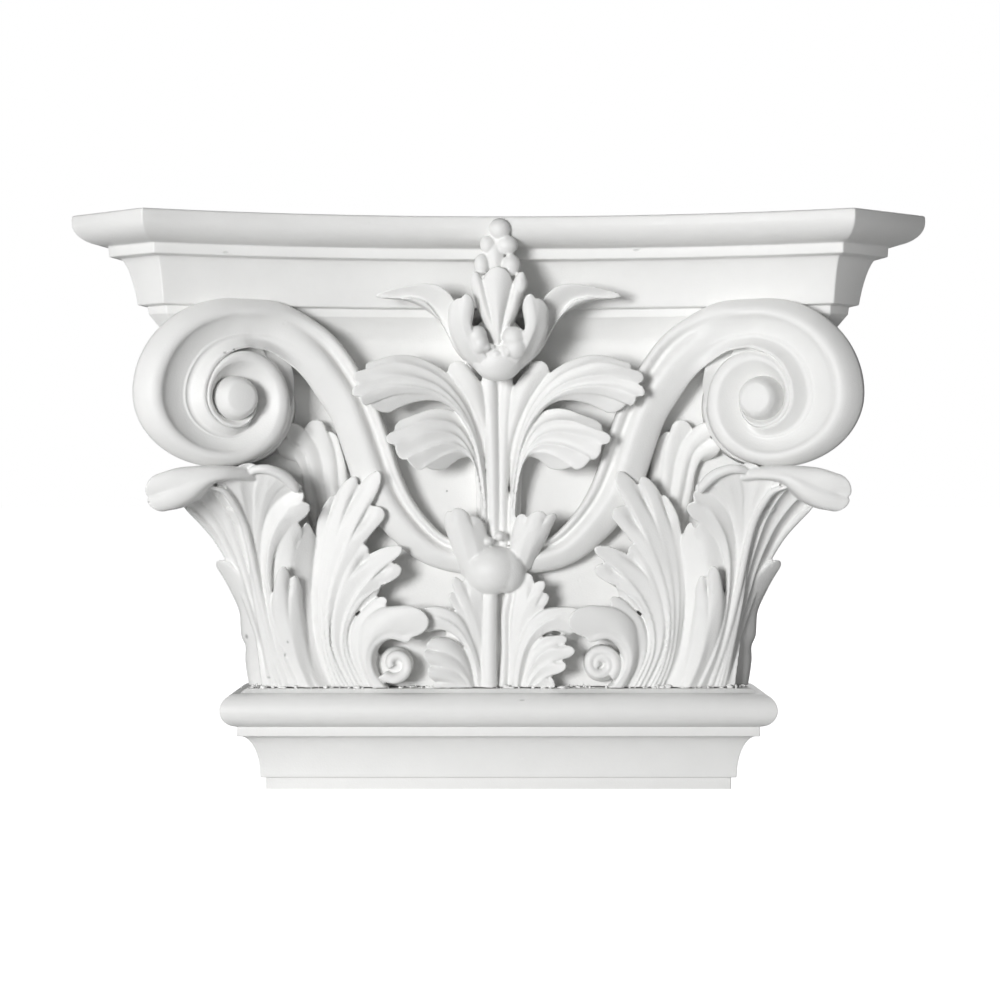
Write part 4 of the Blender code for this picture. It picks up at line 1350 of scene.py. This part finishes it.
@dataclass
class AcanthusLeaves:
    """The leaves of one side: in front, beside it, the corner's, which rolls out, and one behind them."""

    front_leaf: tuple[Lobe, ...] = (
        Lobe(
            ((333, 694, 8), (321, 662, 11), (314, 620, 14), (312, 575, 15), (314, 540, 16), (317, 522, 17)),
            ((357, 694, 9), (340, 667, 12), (329, 646, 15), (325, 615, 16), (331, 585, 17), (344, 559, 17)),
            ((327, 500, 20), (334, 499, 17), (351, 477, 22), (356, 490, 19), (380, 472, 24), (370, 506, 20),
             (385, 514, 22), (371, 528, 18), (362, 547, 17)),
            depth=0.42, free=0.75, eye=2.6,
        ),
        Lobe(
            ((352, 694, 9), (336, 664, 12), (326, 640, 14), (322, 612, 15), (328, 582, 16), (340, 561, 16)),
            ((372, 694, 10), (352, 655, 13), (349, 632, 14), (354, 615, 15), (366, 606, 15)),
            ((359, 545, 21), (368, 555, 18), (400, 546, 22), (390, 563, 19), (401, 573, 20), (380, 584, 18),
             (376, 597, 17)),
            depth=0.40, free=0.75, eye=2.4,
        ),
        Lobe(
            ((368, 694, 10), (352, 660, 13), (349, 640, 14), (354, 620, 15), (366, 607, 15)),
            ((378, 694, 10), (361, 660, 13), (359, 642, 15), (366, 625, 16), (382, 612, 17)),
            ((384, 597, 20),), depth=0.34, free=0.75,
        ),
        Lobe(
            ((374, 694, 11), (360, 664, 14), (358, 643, 16), (364, 622, 19), (380, 609, 21), (397, 606, 22)),
            ((396, 694, 11), (380, 677, 13), (375, 661, 14), (379, 648, 15), (390, 639, 17), (404, 640, 18)),
            ((428, 617, 21), (412, 637, 18), (407, 642, 17)),
            Section.ROUND, depth=0.12, crown=2.6, drop=1.6, free=0.8, eye=0.6,
        ),
    )
    middle_leaf: tuple[Lobe, ...] = (
        Lobe(
            ((300, 694, 8), (279, 655, 11), (266, 610, 13), (264, 575, 16), (267, 553, 18), (276, 538, 20)),
            ((342, 694, 7), (324, 650, 10), (317, 613, 12), (315, 576, 14), (316, 550, 15)),
            ((289, 520, 27), (303, 534, 20), (309, 524, 21)),
            depth=0.16, crown=3.4, drop=2.4, free=0.8, eye=1.4,
        ),
        Lobe(
            ((294, 694, 9), (279, 650, 14), (272, 620, 18), (271, 604, 20), (274, 589, 22)),
            ((330, 694, 9), (314, 665, 12), (306, 630, 15), (303, 612, 16), (301, 600, 16)),
            ((283, 566, 28), (290, 586, 19), (297, 577, 23)),
            depth=0.16, crown=3.0, drop=2.4, free=0.7, eye=2.6,
        ),
    )
    corner_leaf: tuple[Lobe, ...] = (
        Lobe(
            ((290, 694, 8), (273, 650, 12), (262, 600, 16), (258, 550, 21), (263, 520, 26), (273, 501, 29),
             (289, 489, 30)),
            ((312, 694, 8), (291, 656, 12), (277, 622, 15), (270, 589, 18), (269, 560, 20), (275, 541, 23),
             (289, 525, 26)),
            ((302, 491, 31), (301, 502, 30), (309, 512, 29)),
            depth=0.14, crown=2.6, drop=2.4, free=0.75, eye=0.8,
        ),
        Lobe(
            ((270, 694, 8), (262, 650, 12), (253, 600, 17), (248, 550, 23), (242, 525, 29), (231, 503, 37),
             (220, 488, 43)),
            ((291, 694, 8), (275, 650, 12), (264, 600, 16), (259, 550, 20), (264, 520, 25), (275, 502, 29),
             (294, 492, 31)),
            ((218, 470, 46), (236, 469, 43), (250, 463, 42), (259, 471, 39), (270, 465, 41), (278, 473, 38),
             (288, 474, 38), (290, 482, 34), (301, 486, 33)),
            depth=0.26, free=0.75, eye=0.6,
        ),
        Lobe(
            ((277, 694, 6), (261, 650, 8), (246, 605, 10), (234, 572, 12), (214, 536, 18), (197, 516, 26),
             (184, 505, 35)),
            ((287, 694, 8), (270, 640, 13), (258, 590, 18), (249, 548, 24), (241, 515, 31), (232, 495, 38),
             (222, 482, 44)),
            ((186, 494, 38), (196, 497, 38), (200, 486, 42), (210, 490, 41), (214, 480, 44)),
            depth=0.34, drop=0.6, free=0.7, eye=0.3,
        ),
        Lobe(
            ((268, 474, 27), (250, 469, 39), (234, 466, 43), (214, 465, 47), (192, 466, 50), (176, 468, 52),
             (161, 474, 53)),
            ((270, 484, 25), (254, 482, 36), (240, 480, 43), (226, 480, 48), (214, 483, 50), (205, 490, 51),
             (194, 500, 51), (179, 508, 51), (165, 511, 51)),
            ((148, 483, 52), (150, 497, 51), (152, 507, 51)), Section.ROUND, depth=0.10, crown=3.4, drop=2.2,
            free=0.1, wall=5.0, eye=0.5,
        ),
        Lobe(
            ((250, 694, -4), (245, 660, -3), (245, 646, -2), (241, 636, -1), (239, 612, 1), (231, 592, 3),
             (225, 577, 6)),
            ((284, 694, 5), (275, 655, 9), (267, 622, 11), (258, 599, 12), (248, 581, 13), (235, 567, 13)),
            ((217, 561, 11),), depth=0.14, crown=3.4, drop=1.0, free=0.7,
        ),
    )
    corner_edge: tuple[Finger, ...] = (
        Finger(
            ((279, 694, 5), (263, 650, 7), (248, 605, 9), (236, 573, 11), (216, 538, 17), (198, 518, 25),
             (185, 507, 34)),
            (1.2, 1.5, 1.6, 1.2), depth=0.5, free=0.6,
        ),
        Finger(
            ((288, 690, 9), (271, 640, 14), (259, 592, 19), (250, 549, 25), (243, 523, 30), (233, 503, 37),
             (223, 491, 42), (208, 487, 46)),
            (1.2, 1.4, 1.5, 1.0), depth=0.5, free=0.6,
        ),
        Finger(
            ((246, 476, 39), (254, 470, 42), (266, 469, 42), (280, 474, 40), (291, 483, 37), (298, 493, 34)),
            (1.2, 2.0, 2.2, 1.8), depth=0.6, free=0.2,
        ),
    )
    back_leaf: tuple[Lobe, ...] = (
        Lobe(
            ((320, 560, 3), (308, 520, 6), (303, 490, 8), (303, 472, 9), (301, 464, 10), (289, 460, 11)),
            ((358, 560, 3), (354, 510, 6), (350, 482, 7), (346, 467, 8), (338, 449, 10)),
            ((276, 447, 15), (288, 439, 14), (289, 424, 15), (305, 430, 12), (318, 420, 13), (326, 433, 11),
             (337, 436, 11)),
            Section.ROUND, depth=0.18, crown=2.4, drop=2.0, free=0.7, eye=0.4,
        ),
    )
    leaf_bed: Pairs = (
        (262, 700), (256, 640), (262, 590), (270, 540), (300, 540), (322, 520), (345, 520),
        (362, 530), (345, 560), (372, 575), (362, 610), (390, 625), (378, 650), (385, 700),
    )
    bed_relief: float = 8.0
    left_curl: Curl = Curl(218, 575, 0.28)
    right_curl: Curl = Curl(232, -400, 0.25)
    curl_bed: tuple[Place, Place] = ((396, 664, 6), (7.6, 7.0, 7.6))

    def skins(self, side: Side) -> list[Skin]:
        """Every closed shape of one side's group, as it lies on the left.

        Args:
            side: the half that the group is for.

        Returns:
            The shapes, which overlap.
        """
        carved = self.front_leaf + self.middle_leaf + self.corner_leaf + self.back_leaf + self.corner_edge
        curl = self.left_curl if side is Side.LEFT else self.right_curl
        beds = [bed(self.leaf_bed, self.bed_relief), ball(*self.curl_bed)]
        return [shape.skin() for shape in carved] + beds + [curl.skin()]

    def build(self, dresser: Dresser, side: Side) -> bpy.types.Object:
        """Casts and dresses the leaves of one side.

        Args:
            dresser: what gives them their material and node.
            side: the half that they belong to.

        Returns:
            The dressed object.
        """
        shapes = [side.placed(shape) for shape in self.skins(side)]
        return dresser.capital(CASTING.pour(side.named("acanthus"), shapes))


@dataclass
class SideLeaves:
    """The leaves of a side face: the corner's own, turned over the upright plane through the corner."""

    corner_x: float = -102.5
    corner_reach: float = 58.0
    press: float = 0.45
    nearest_wall: float = 1.5

    def turned(self, skin: Skin) -> Skin:
        """The mirror image of a front leaf in the corner's diagonal plane, pressed flatter.

        X = corner x - press (reach - corner reach) and reach = corner reach - (x - corner x).

        Args:
            skin: a leaf of the left half's front.

        Returns:
            The leaf on the left side face.
        """
        points = skin.points.copy()
        points[:, 0] = self.corner_x - self.press * (skin.points[:, 1] - self.corner_reach)
        points[:, 1] = self.corner_reach - (skin.points[:, 0] - self.corner_x)
        points[:, 1] = np.maximum(points[:, 1], self.nearest_wall)
        return Skin(points, skin.triangles)

    def build(self, dresser: Dresser, side: Side) -> bpy.types.Object:
        """Casts and dresses the leaves of one side face.

        Args:
            dresser: what gives them their material and node.
            side: the half that they belong to.

        Returns:
            The dressed object.
        """
        leaves = AcanthusLeaves()
        carved = leaves.corner_leaf[:3] + leaves.middle_leaf + leaves.front_leaf[:1] + leaves.corner_edge[:2]
        shapes = [side.placed(self.turned(shape.skin())) for shape in carved]
        return dresser.capital(SIDE_CASTING.pour(side.named("side_leaves"), shapes))


@dataclass
class JointCrumbs:
    """Crumbs of plaster squeezed out of the joint between the two castings, strewn along its front."""

    count: int = 170
    seed: int = 7
    half_width: float = 106.0
    reach: Pair = (60.0, 68.5)
    size: Pair = (0.25, 0.8)
    stretch: Pair = (0.5, 1.5)
    long: float = 2.4
    lumpy: Pair = (0.6, 1.3)
    sunk: float = 0.2
    sides: int = 8
    rows: int = 5
    pole_gap: float = 0.2

    def skins(self) -> list[Skin]:
        """The crumbs, each a lumpy stretched ball at a random place.

        Returns:
            One closed skin for each crumb.
        """
        chance = np.random.default_rng(self.seed)
        x = chance.uniform(-self.half_width, self.half_width, self.count)
        reach = chance.uniform(*self.reach, self.count)
        width = chance.uniform(*self.size, self.count)
        turns = full_turn(self.sides)
        tilts = np.linspace(self.pole_gap, math.pi - self.pole_gap, self.rows)[:, None]
        round_ball = np.stack([
            np.sin(tilts) * np.cos(turns),
            np.sin(tilts) * np.sin(turns),
            np.broadcast_to(np.cos(tilts), (self.rows, self.sides)),
        ], axis=-1)
        sizes = chance.uniform(*self.stretch, (self.count, 3)) * width[:, None]
        sizes[:, 0] *= chance.choice([1.0, self.long], self.count)
        lumps = chance.uniform(*self.lumpy, (self.count, self.rows, self.sides, 1))
        places = np.column_stack([x, reach, JOINT - self.sunk + sizes[:, 2] * 0.5])
        return [
            Skin.loft(place + round_ball * size * lump) for place, size, lump in zip(places, sizes, lumps)
        ]

    def build(self, dresser: Dresser) -> bpy.types.Object:
        """Makes and dresses the crumbs as one mesh."""
        return dresser.capital(plain_object("joint_crumbs", Skin.joined(self.skins()), cornered=False))


@dataclass
class MiddleLeaves:
    """The stem with its drooping leaves, the small leaves at its foot and the fruit where the bands meet."""

    drooping: tuple[Lobe, ...] = (
        Lobe(
            ((489, 545, 8), (486, 480, 12), (476, 422, 15), (463, 393, 19), (447, 373, 22), (428, 361, 25),
             (405, 355, 27), (384, 363, 28)),
            ((484, 545, 8), (481, 480, 12), (473, 440, 14), (461, 416, 18), (447, 403, 21), (432, 399, 23),
             (414, 401, 24), (394, 408, 25)),
            ((369, 362, 29), (368, 370, 29), (354, 375, 31), (360, 384, 31), (352, 393, 32), (362, 396, 31),
             (364, 405, 30), (371, 402, 28), (382, 412, 26)),
            depth=0.34, crown=3.8, drop=1.6, free=0.5, eye=0.8,
        ),
        Lobe(
            ((486, 540, 8), (482, 480, 12), (475, 442, 15), (461, 416, 18), (447, 409, 21), (431, 409, 23),
             (412, 417, 24)),
            ((481, 540, 8), (480, 492, 11), (478, 467, 13), (472, 457, 15), (462, 457, 17), (450, 464, 18)),
            ((397, 423, 25), (398, 431, 25), (386, 438, 27), (396, 445, 25), (399, 457, 25), (407, 458, 24),
             (417, 469, 23), (425, 465, 22), (439, 470, 20)),
            depth=0.34, crown=4.2, drop=1.6, free=0.5, eye=0.8,
        ),
    )
    inner_bud: tuple[Lobe, ...] = (
        Lobe(
            ((490, 510, 9), (486, 450, 12), (475, 414, 16), (461, 390, 19), (448, 375, 20)),
            ((494, 510, 9), (492, 450, 12), (488, 415, 15), (483, 387, 17), (472, 373, 17)),
            ((457, 361, 20),), Section.ROUND, depth=0.20, crown=0.8, drop=1.0, free=0.7,
        ),
    )
    stem: tuple[Finger, ...] = (
        Finger(
            ((494, 552, 11), (493, 480, 13), (491, 420, 15), (488, 366, 18)),
            (2.3, 2.6, 3.0, 3.6), depth=0.7,
        ),
        Finger(
            ((503, 552, 11), (503, 480, 12), (505, 420, 14), (508, 366, 17)),
            (1.8, 2.2, 2.6, 2.8), depth=0.7,
        ),
        Finger(
            ((498.5, 552, 9), (498.5, 480, 11), (498.5, 420, 13), (498.5, 366, 16)),
            (3.0, 3.0, 3.6, 4.4), depth=0.2,
        ),
        Finger(
            ((482, 548, 7), (481, 480, 10), (478, 440, 12.5), (471, 410, 15.5)),
            (2.4, 2.4, 2.8, 3.2), depth=0.3,
        ),
        Finger(
            ((515, 548, 7), (516, 480, 10), (519, 440, 12.5), (526, 410, 15.5)),
            (2.4, 2.4, 2.8, 3.2), depth=0.3,
        ),
        Finger(
            ((489.5, 696, 11), (489.5, 650, 12), (490, 585, 13)),
            (3.3, 3.2, 3.2, 3.4), depth=0.6,
        ),
        Finger(
            ((502, 696, 8), (505, 650, 10), (505, 615, 11), (510, 590, 12)),
            (1.8, 1.4, 1.6, 2.2), depth=0.6,
        ),
        Finger(
            ((505, 696, 6), (508, 650, 8.5), (510, 615, 10.5), (514, 586, 12)),
            (2.6, 2.6, 3.0, 4.0), depth=0.2,
        ),
    )
    fleuron: tuple[Lobe, ...] = (
        Lobe(
            ((484, 374, 22), (464, 345, 28), (458, 322, 32), (457, 305, 35), (449, 293, 37), (438, 285, 38),
             (426, 283, 38)),
            ((474, 368, 22), (456, 350, 27), (445, 329, 31), (434, 311, 33), (424, 301, 35), (410, 297, 36)),
            ((376, 294, 37),), depth=0.34, crown=0.0, drop=0.6, free=0.4, wall=2.6,
        ),
        Lobe(
            ((484, 376, 25), (461, 354, 32), (450, 331, 37), (448, 311, 39)),
            ((499, 378, 27), (490, 362, 37), (480, 345, 40), (472, 328, 41), (474, 312, 41)),
            ((455, 300, 42), (461, 301, 41), (470, 295, 44)),
            depth=0.20, crown=3.4, drop=1.2, free=0.5, eye=0.4,
        ),
        Lobe(
            ((494, 344, 34), (481, 316, 36), (471, 288, 38)),
            ((501, 338, 34), (492, 312, 36), (484, 286, 38)),
            ((475, 272, 39),), Section.ROUND, depth=0.34, crown=1.2, drop=0.8, free=0.6,
        ),
    )
    bud: Lobe = Lobe(
        ((495, 344, 36), (491, 316, 38), (483, 284, 40)),
        ((501, 344, 36), (504, 316, 38), (512, 284, 40)),
        ((498, 267, 40),), Section.ROUND, depth=0.26, drop=1.0, free=0.6,
    )
    foot_left: tuple[Lobe, ...] = (
        Lobe(
            ((478, 694, 8), (475, 660, 11), (468, 632, 13), (460, 613, 14)),
            ((489, 694, 8), (488, 660, 10), (486, 620, 13), (482, 594, 14)),
            ((449, 599, 17), (456, 593, 15), (453, 578, 18), (464, 584, 15), (473, 574, 16)),
            depth=0.24, free=0.7, eye=0.8,
        ),
        Lobe(
            ((484, 694, 10), (479, 660, 13), (471, 636, 15), (461, 618, 17), (448, 609, 18), (435, 606, 18)),
            ((474, 694, 8), (470, 662, 11), (463, 645, 13), (453, 634, 15), (441, 630, 16), (430, 632, 15)),
            ((418, 612, 17), (427, 617, 16), (420, 626, 16)),
            depth=0.22, crown=1.8, drop=1.4, free=0.7, eye=0.5,
        ),
        Lobe(
            ((477, 694, 8), (471, 666, 12), (463, 649, 15), (452, 640, 17), (440, 637, 17)),
            ((470, 698, 7), (462, 696, 8), (454, 694, 10), (444, 692, 11)),
            ((428, 642, 18), (430, 649, 16), (424, 656, 17), (434, 665, 14), (428, 673, 15), (437, 681, 12),
             (434, 688, 12)),
            Section.ROUND, depth=0.14, crown=3.4, drop=1.2, free=0.8, eye=1.2,
        ),
    )
    foot_right: tuple[Lobe, ...] = (
        Lobe(
            ((507, 694, 8), (509, 660, 10), (511, 620, 13), (515, 594, 14)),
            ((518, 694, 8), (522, 660, 11), (528, 632, 13), (536, 612, 14)),
            ((525, 574, 16), (534, 584, 15), (545, 582, 17), (541, 593, 15), (549, 600, 16)),
            depth=0.24, free=0.7, eye=0.8,
        ),
        Lobe(
            ((511, 694, 10), (515, 660, 13), (521, 638, 15), (533, 618, 17), (547, 609, 18), (563, 607, 18)),
            ((522, 694, 8), (526, 665, 11), (532, 646, 13), (541, 636, 15), (553, 631, 16), (565, 634, 15)),
            ((581, 611, 17), (570, 617, 16), (579, 628, 16)),
            depth=0.22, crown=1.8, drop=1.4, free=0.7, eye=0.5,
        ),
        Lobe(
            ((519, 694, 8), (526, 664, 12), (534, 646, 15), (545, 637, 17), (557, 636, 17)),
            ((528, 698, 7), (535, 696, 8), (543, 694, 10), (552, 690, 11)),
            ((567, 638, 17), (562, 645, 15), (575, 652, 18), (557, 660, 13), (566, 668, 17), (549, 675, 12),
             (555, 684, 14)),
            depth=0.26, crown=2.6, drop=1.2, free=0.8, eye=1.6,
        ),
    )
    foot_beds: tuple[Pairs, ...] = (
        ((446, 618), (462, 622), (476, 648), (482, 700), (452, 700), (446, 660)),
        ((552, 618), (536, 622), (522, 648), (514, 700), (546, 700), (552, 660)),
    )
    hoods: tuple[Lobe, ...] = (
        Lobe(
            ((462, 576, 12), (456, 558, 16), (450, 543, 18), (444, 524, 19)),
            ((486, 568, 13), (489, 552, 16), (488, 537, 17), (484, 527, 17)),
            ((447, 512, 21), (452, 515, 20), (459, 508, 21), (470, 517, 18), (479, 518, 18)),
            depth=0.09, crown=3.6, drop=1.4, free=0.7, eye=0.9,
        ),
        Lobe(
            ((510, 566, 13), (511, 550, 16), (512, 534, 17), (516, 521, 17)),
            ((532, 570, 12), (539, 554, 15), (547, 539, 17), (554, 521, 18)),
            ((521, 514, 18), (528, 519, 18), (537, 511, 21), (546, 516, 20), (556, 514, 21)),
            depth=0.09, crown=3.4, drop=1.4, free=0.7, eye=0.9,
        ),
    )
    beads: Ovals = (
        ((500, 228.5, 38), (4.7, 4.6, 4.4)), ((487.5, 244.5, 37), (3.2, 3.4, 3.6)),
        ((507.5, 245, 38), (4.3, 4.0, 4.0)), ((481.6, 264.5, 37), (3.2, 3.6, 4.5)),
        ((511.5, 265, 38), (3.8, 4.0, 4.5)), ((495.5, 257, 36), (3.6, 4.4, 6.8)),
        ((498, 240, 34), (4.6, 4.4, 6.0)), ((497, 266, 33), (6.0, 4.4, 8.0)),
        ((520.5, 284, 38), (3.0, 3.6, 4.2)), ((498, 345, 24), (12.0, 9.0, 12.0)),
        ((498, 361, 30), (10.5, 8.6, 8.6)), ((491, 347, 36), (1.9, 3.0, 1.4)),
        ((503, 349, 36), (1.4, 3.0, 1.7)), ((496.5, 354, 36), (2.4, 3.0, 1.7)),
        ((506, 344, 36), (1.5, 3.0, 1.2)), ((477.5, 336, 38), (3.9, 4.6, 4.4)),
        ((480, 343, 38), (3.6, 4.4, 4.6)), ((486, 347.5, 38.5), (2.0, 2.6, 1.8)),
        ((514, 337, 38), (4.9, 4.8, 4.6)), ((516, 346, 37), (4.8, 5.0, 5.6)),
        ((508, 351, 38.5), (2.0, 2.6, 2.4)),
    )
    small_curls: Ovals = (
        ((488, 541, 15), (2.6, 4.0, 2.0)), ((500, 536, 15), (2.4, 4.0, 2.2)),
        ((519, 541, 15), (2.6, 4.0, 2.4)), ((443, 678, 11), (2.8, 4.0, 2.8)),
    )
    fruit: Ovals = (
        ((492.8, 570, 12), (12.7, 12.0, 10.4)), ((506, 570.5, 12), (9.0, 9.8, 9.6)),
    )
    fruit_sides: int = 56
    stem_bed: Pairs = ((482, 440), (476, 700), (520, 700), (515, 440))
    stem_bed_relief: float = 7.0
    foot_bed_relief: float = 10.0

    def skins(self) -> list[Skin]:
        """Every shape of the group, with the mirror images of what both halves share.

        Returns:
            The shapes, which overlap.
        """
        shared = [lobe.skin() for lobe in self.drooping + self.inner_bud + self.fleuron]
        shapes = shared + [shape.mirrored() for shape in shared]
        own = (self.bud, *self.foot_left, *self.foot_right, *self.hoods, *self.stem)
        shapes += [shape.skin() for shape in own]
        shapes += [ball(place, radii) for place, radii in self.beads + self.small_curls]
        shapes += [ball(place, radii, self.fruit_sides) for place, radii in self.fruit]
        shapes.append(bed(self.stem_bed, self.stem_bed_relief))
        return shapes + [bed(outline, self.foot_bed_relief) for outline in self.foot_beds]

    def build(self, dresser: Dresser) -> bpy.types.Object:
        """Casts and dresses the middle group."""
        return dresser.capital(CASTING.pour("middle_leaves", self.skins()))


@dataclass(frozen=True)
class Lamp:
    """A square soft light that faces the capital's middle: place and side in metres, and power in watts."""

    name: str
    place: Place
    size: float
    power: float

    def hang(self) -> None:
        """Makes the light and links it to the scene."""
        data = bpy.data.lights.new(self.name, "AREA")
        data.size, data.energy = self.size, self.power
        lamp = linked(self.name, data)
        lamp.location = self.place
        aim = np.array([0.0, 0.0, PICTURE.eye_height * METRES]) - np.array(self.place)
        level = math.hypot(aim[0], aim[1])
        lamp.rotation_euler = (math.atan2(level, -aim[2]), 0.0, math.atan2(-aim[0], aim[1]))


@dataclass
class Studio:
    """Camera, pale floor and plain soft light, mostly from the front and a little from the left."""

    floor_half: float = 40.0
    white: float = 0.75
    floor_glow: float = 0.96
    floor_rough: float = 0.9
    floor_gloss: float = 0.1
    ambient: float = 0.105
    lamps: tuple[Lamp, ...] = (
        Lamp("key", (-0.84, -1.70, 0.26), 0.5, 28.3),
        Lamp("fill", (0.9, -1.7, 0.2), 1.2, 0.4),
        Lamp("back_fill", (0.6, 1.8, 0.9), 1.2, 12.0),
    )

    def camera(self) -> None:
        """A level camera straight ahead, at the picture's place and lens."""
        data = bpy.data.cameras.new("camera")
        data.lens = PICTURE.lens
        data.sensor_width = PICTURE.sensor
        camera = linked("camera", data)
        camera.location = (
            PICTURE.camera_x * METRES,
            (WALL_Y - PICTURE.plane_reach - PICTURE.distance) * METRES,
            PICTURE.eye_height * METRES,
        )
        camera.rotation_euler = (math.pi / 2, 0.0, 0.0)
        bpy.context.scene.camera = camera

    @staticmethod
    def seen_only(tree: bpy.types.NodeTree, strength: bpy.types.NodeSocket, cast: float, seen: float) -> None:
        """Gives a glow one strength as it is seen and another as it lights the capital.

        Args:
            tree: the node tree of the glow.
            strength: the socket to feed.
            cast: strength as a light.
            seen: strength as the picture shows it.
        """
        path = tree.nodes.new("ShaderNodeLightPath")
        chosen = tree.nodes.new("ShaderNodeMapRange")
        chosen.inputs["To Min"].default_value = cast
        chosen.inputs["To Max"].default_value = seen
        tree.links.new(path.outputs["Is Camera Ray"], chosen.inputs["Value"])
        tree.links.new(chosen.outputs["Result"], strength)

    def floor(self) -> None:
        """One flat white sheet that shows as pale as the surround."""
        half = self.floor_half
        points = np.array([(-half, -half, 0.0), (half, -half, 0.0), (half, half, 0.0), (-half, half, 0.0)])
        mesh = bpy.data.meshes.new("floor")
        mesh.from_pydata(points, [], [(0, 1, 2, 3)])
        floor = linked("floor", mesh)
        material = bpy.data.materials.new("floor_white")
        material.use_nodes = True
        shader = material.node_tree.nodes["Principled BSDF"]
        shader.inputs["Base Color"].default_value = (self.white, self.white, self.white, 1.0)
        shader.inputs["Roughness"].default_value = self.floor_rough
        shader.inputs["Specular IOR Level"].default_value = self.floor_gloss
        shader.inputs["Emission Color"].default_value = (1.0, 1.0, 1.0, 1.0)
        self.seen_only(material.node_tree, shader.inputs["Emission Strength"], 0.0, self.floor_glow)
        mesh.materials.append(material)

    def world(self) -> None:
        """A white surround: full white behind the object, and dimmer as light on it."""
        world = bpy.data.worlds.new("world")
        world.use_nodes = True
        background = world.node_tree.nodes["Background"]
        background.inputs["Color"].default_value = (1.0, 1.0, 1.0, 1.0)
        self.seen_only(world.node_tree, background.inputs["Strength"], self.ambient, 1.0)
        bpy.context.scene.world = world

    def build(self) -> None:
        """Sets up the camera, the floor, the world and the lights."""
        self.camera()
        self.floor()
        self.world()
        bpy.context.scene.view_settings.view_transform = "Standard"
        for lamp in self.lamps:
            lamp.hang()


def main() -> None:
    """Builds the studio and every piece of the capital in order."""
    logging.basicConfig(level=logging.INFO, format="%(message)s")
    Studio().build()
    group = Grain().group()
    dresser = Dresser(*(CastPlaster(name).material(group) for name in ("capital_plaster", "neck_plaster")))
    NeckMoulding().build(dresser)
    BellAndAbacus().build(dresser)
    for side in Side:
        Volute().build(dresser, side)
    for side in Side:
        AcanthusLeaves().build(dresser, side)
    for side in Side:
        SideLeaves().build(dresser, side)
    MiddleLeaves().build(dresser)
    JointCrumbs().build(dresser)


if __name__ == "__main__":
    main()
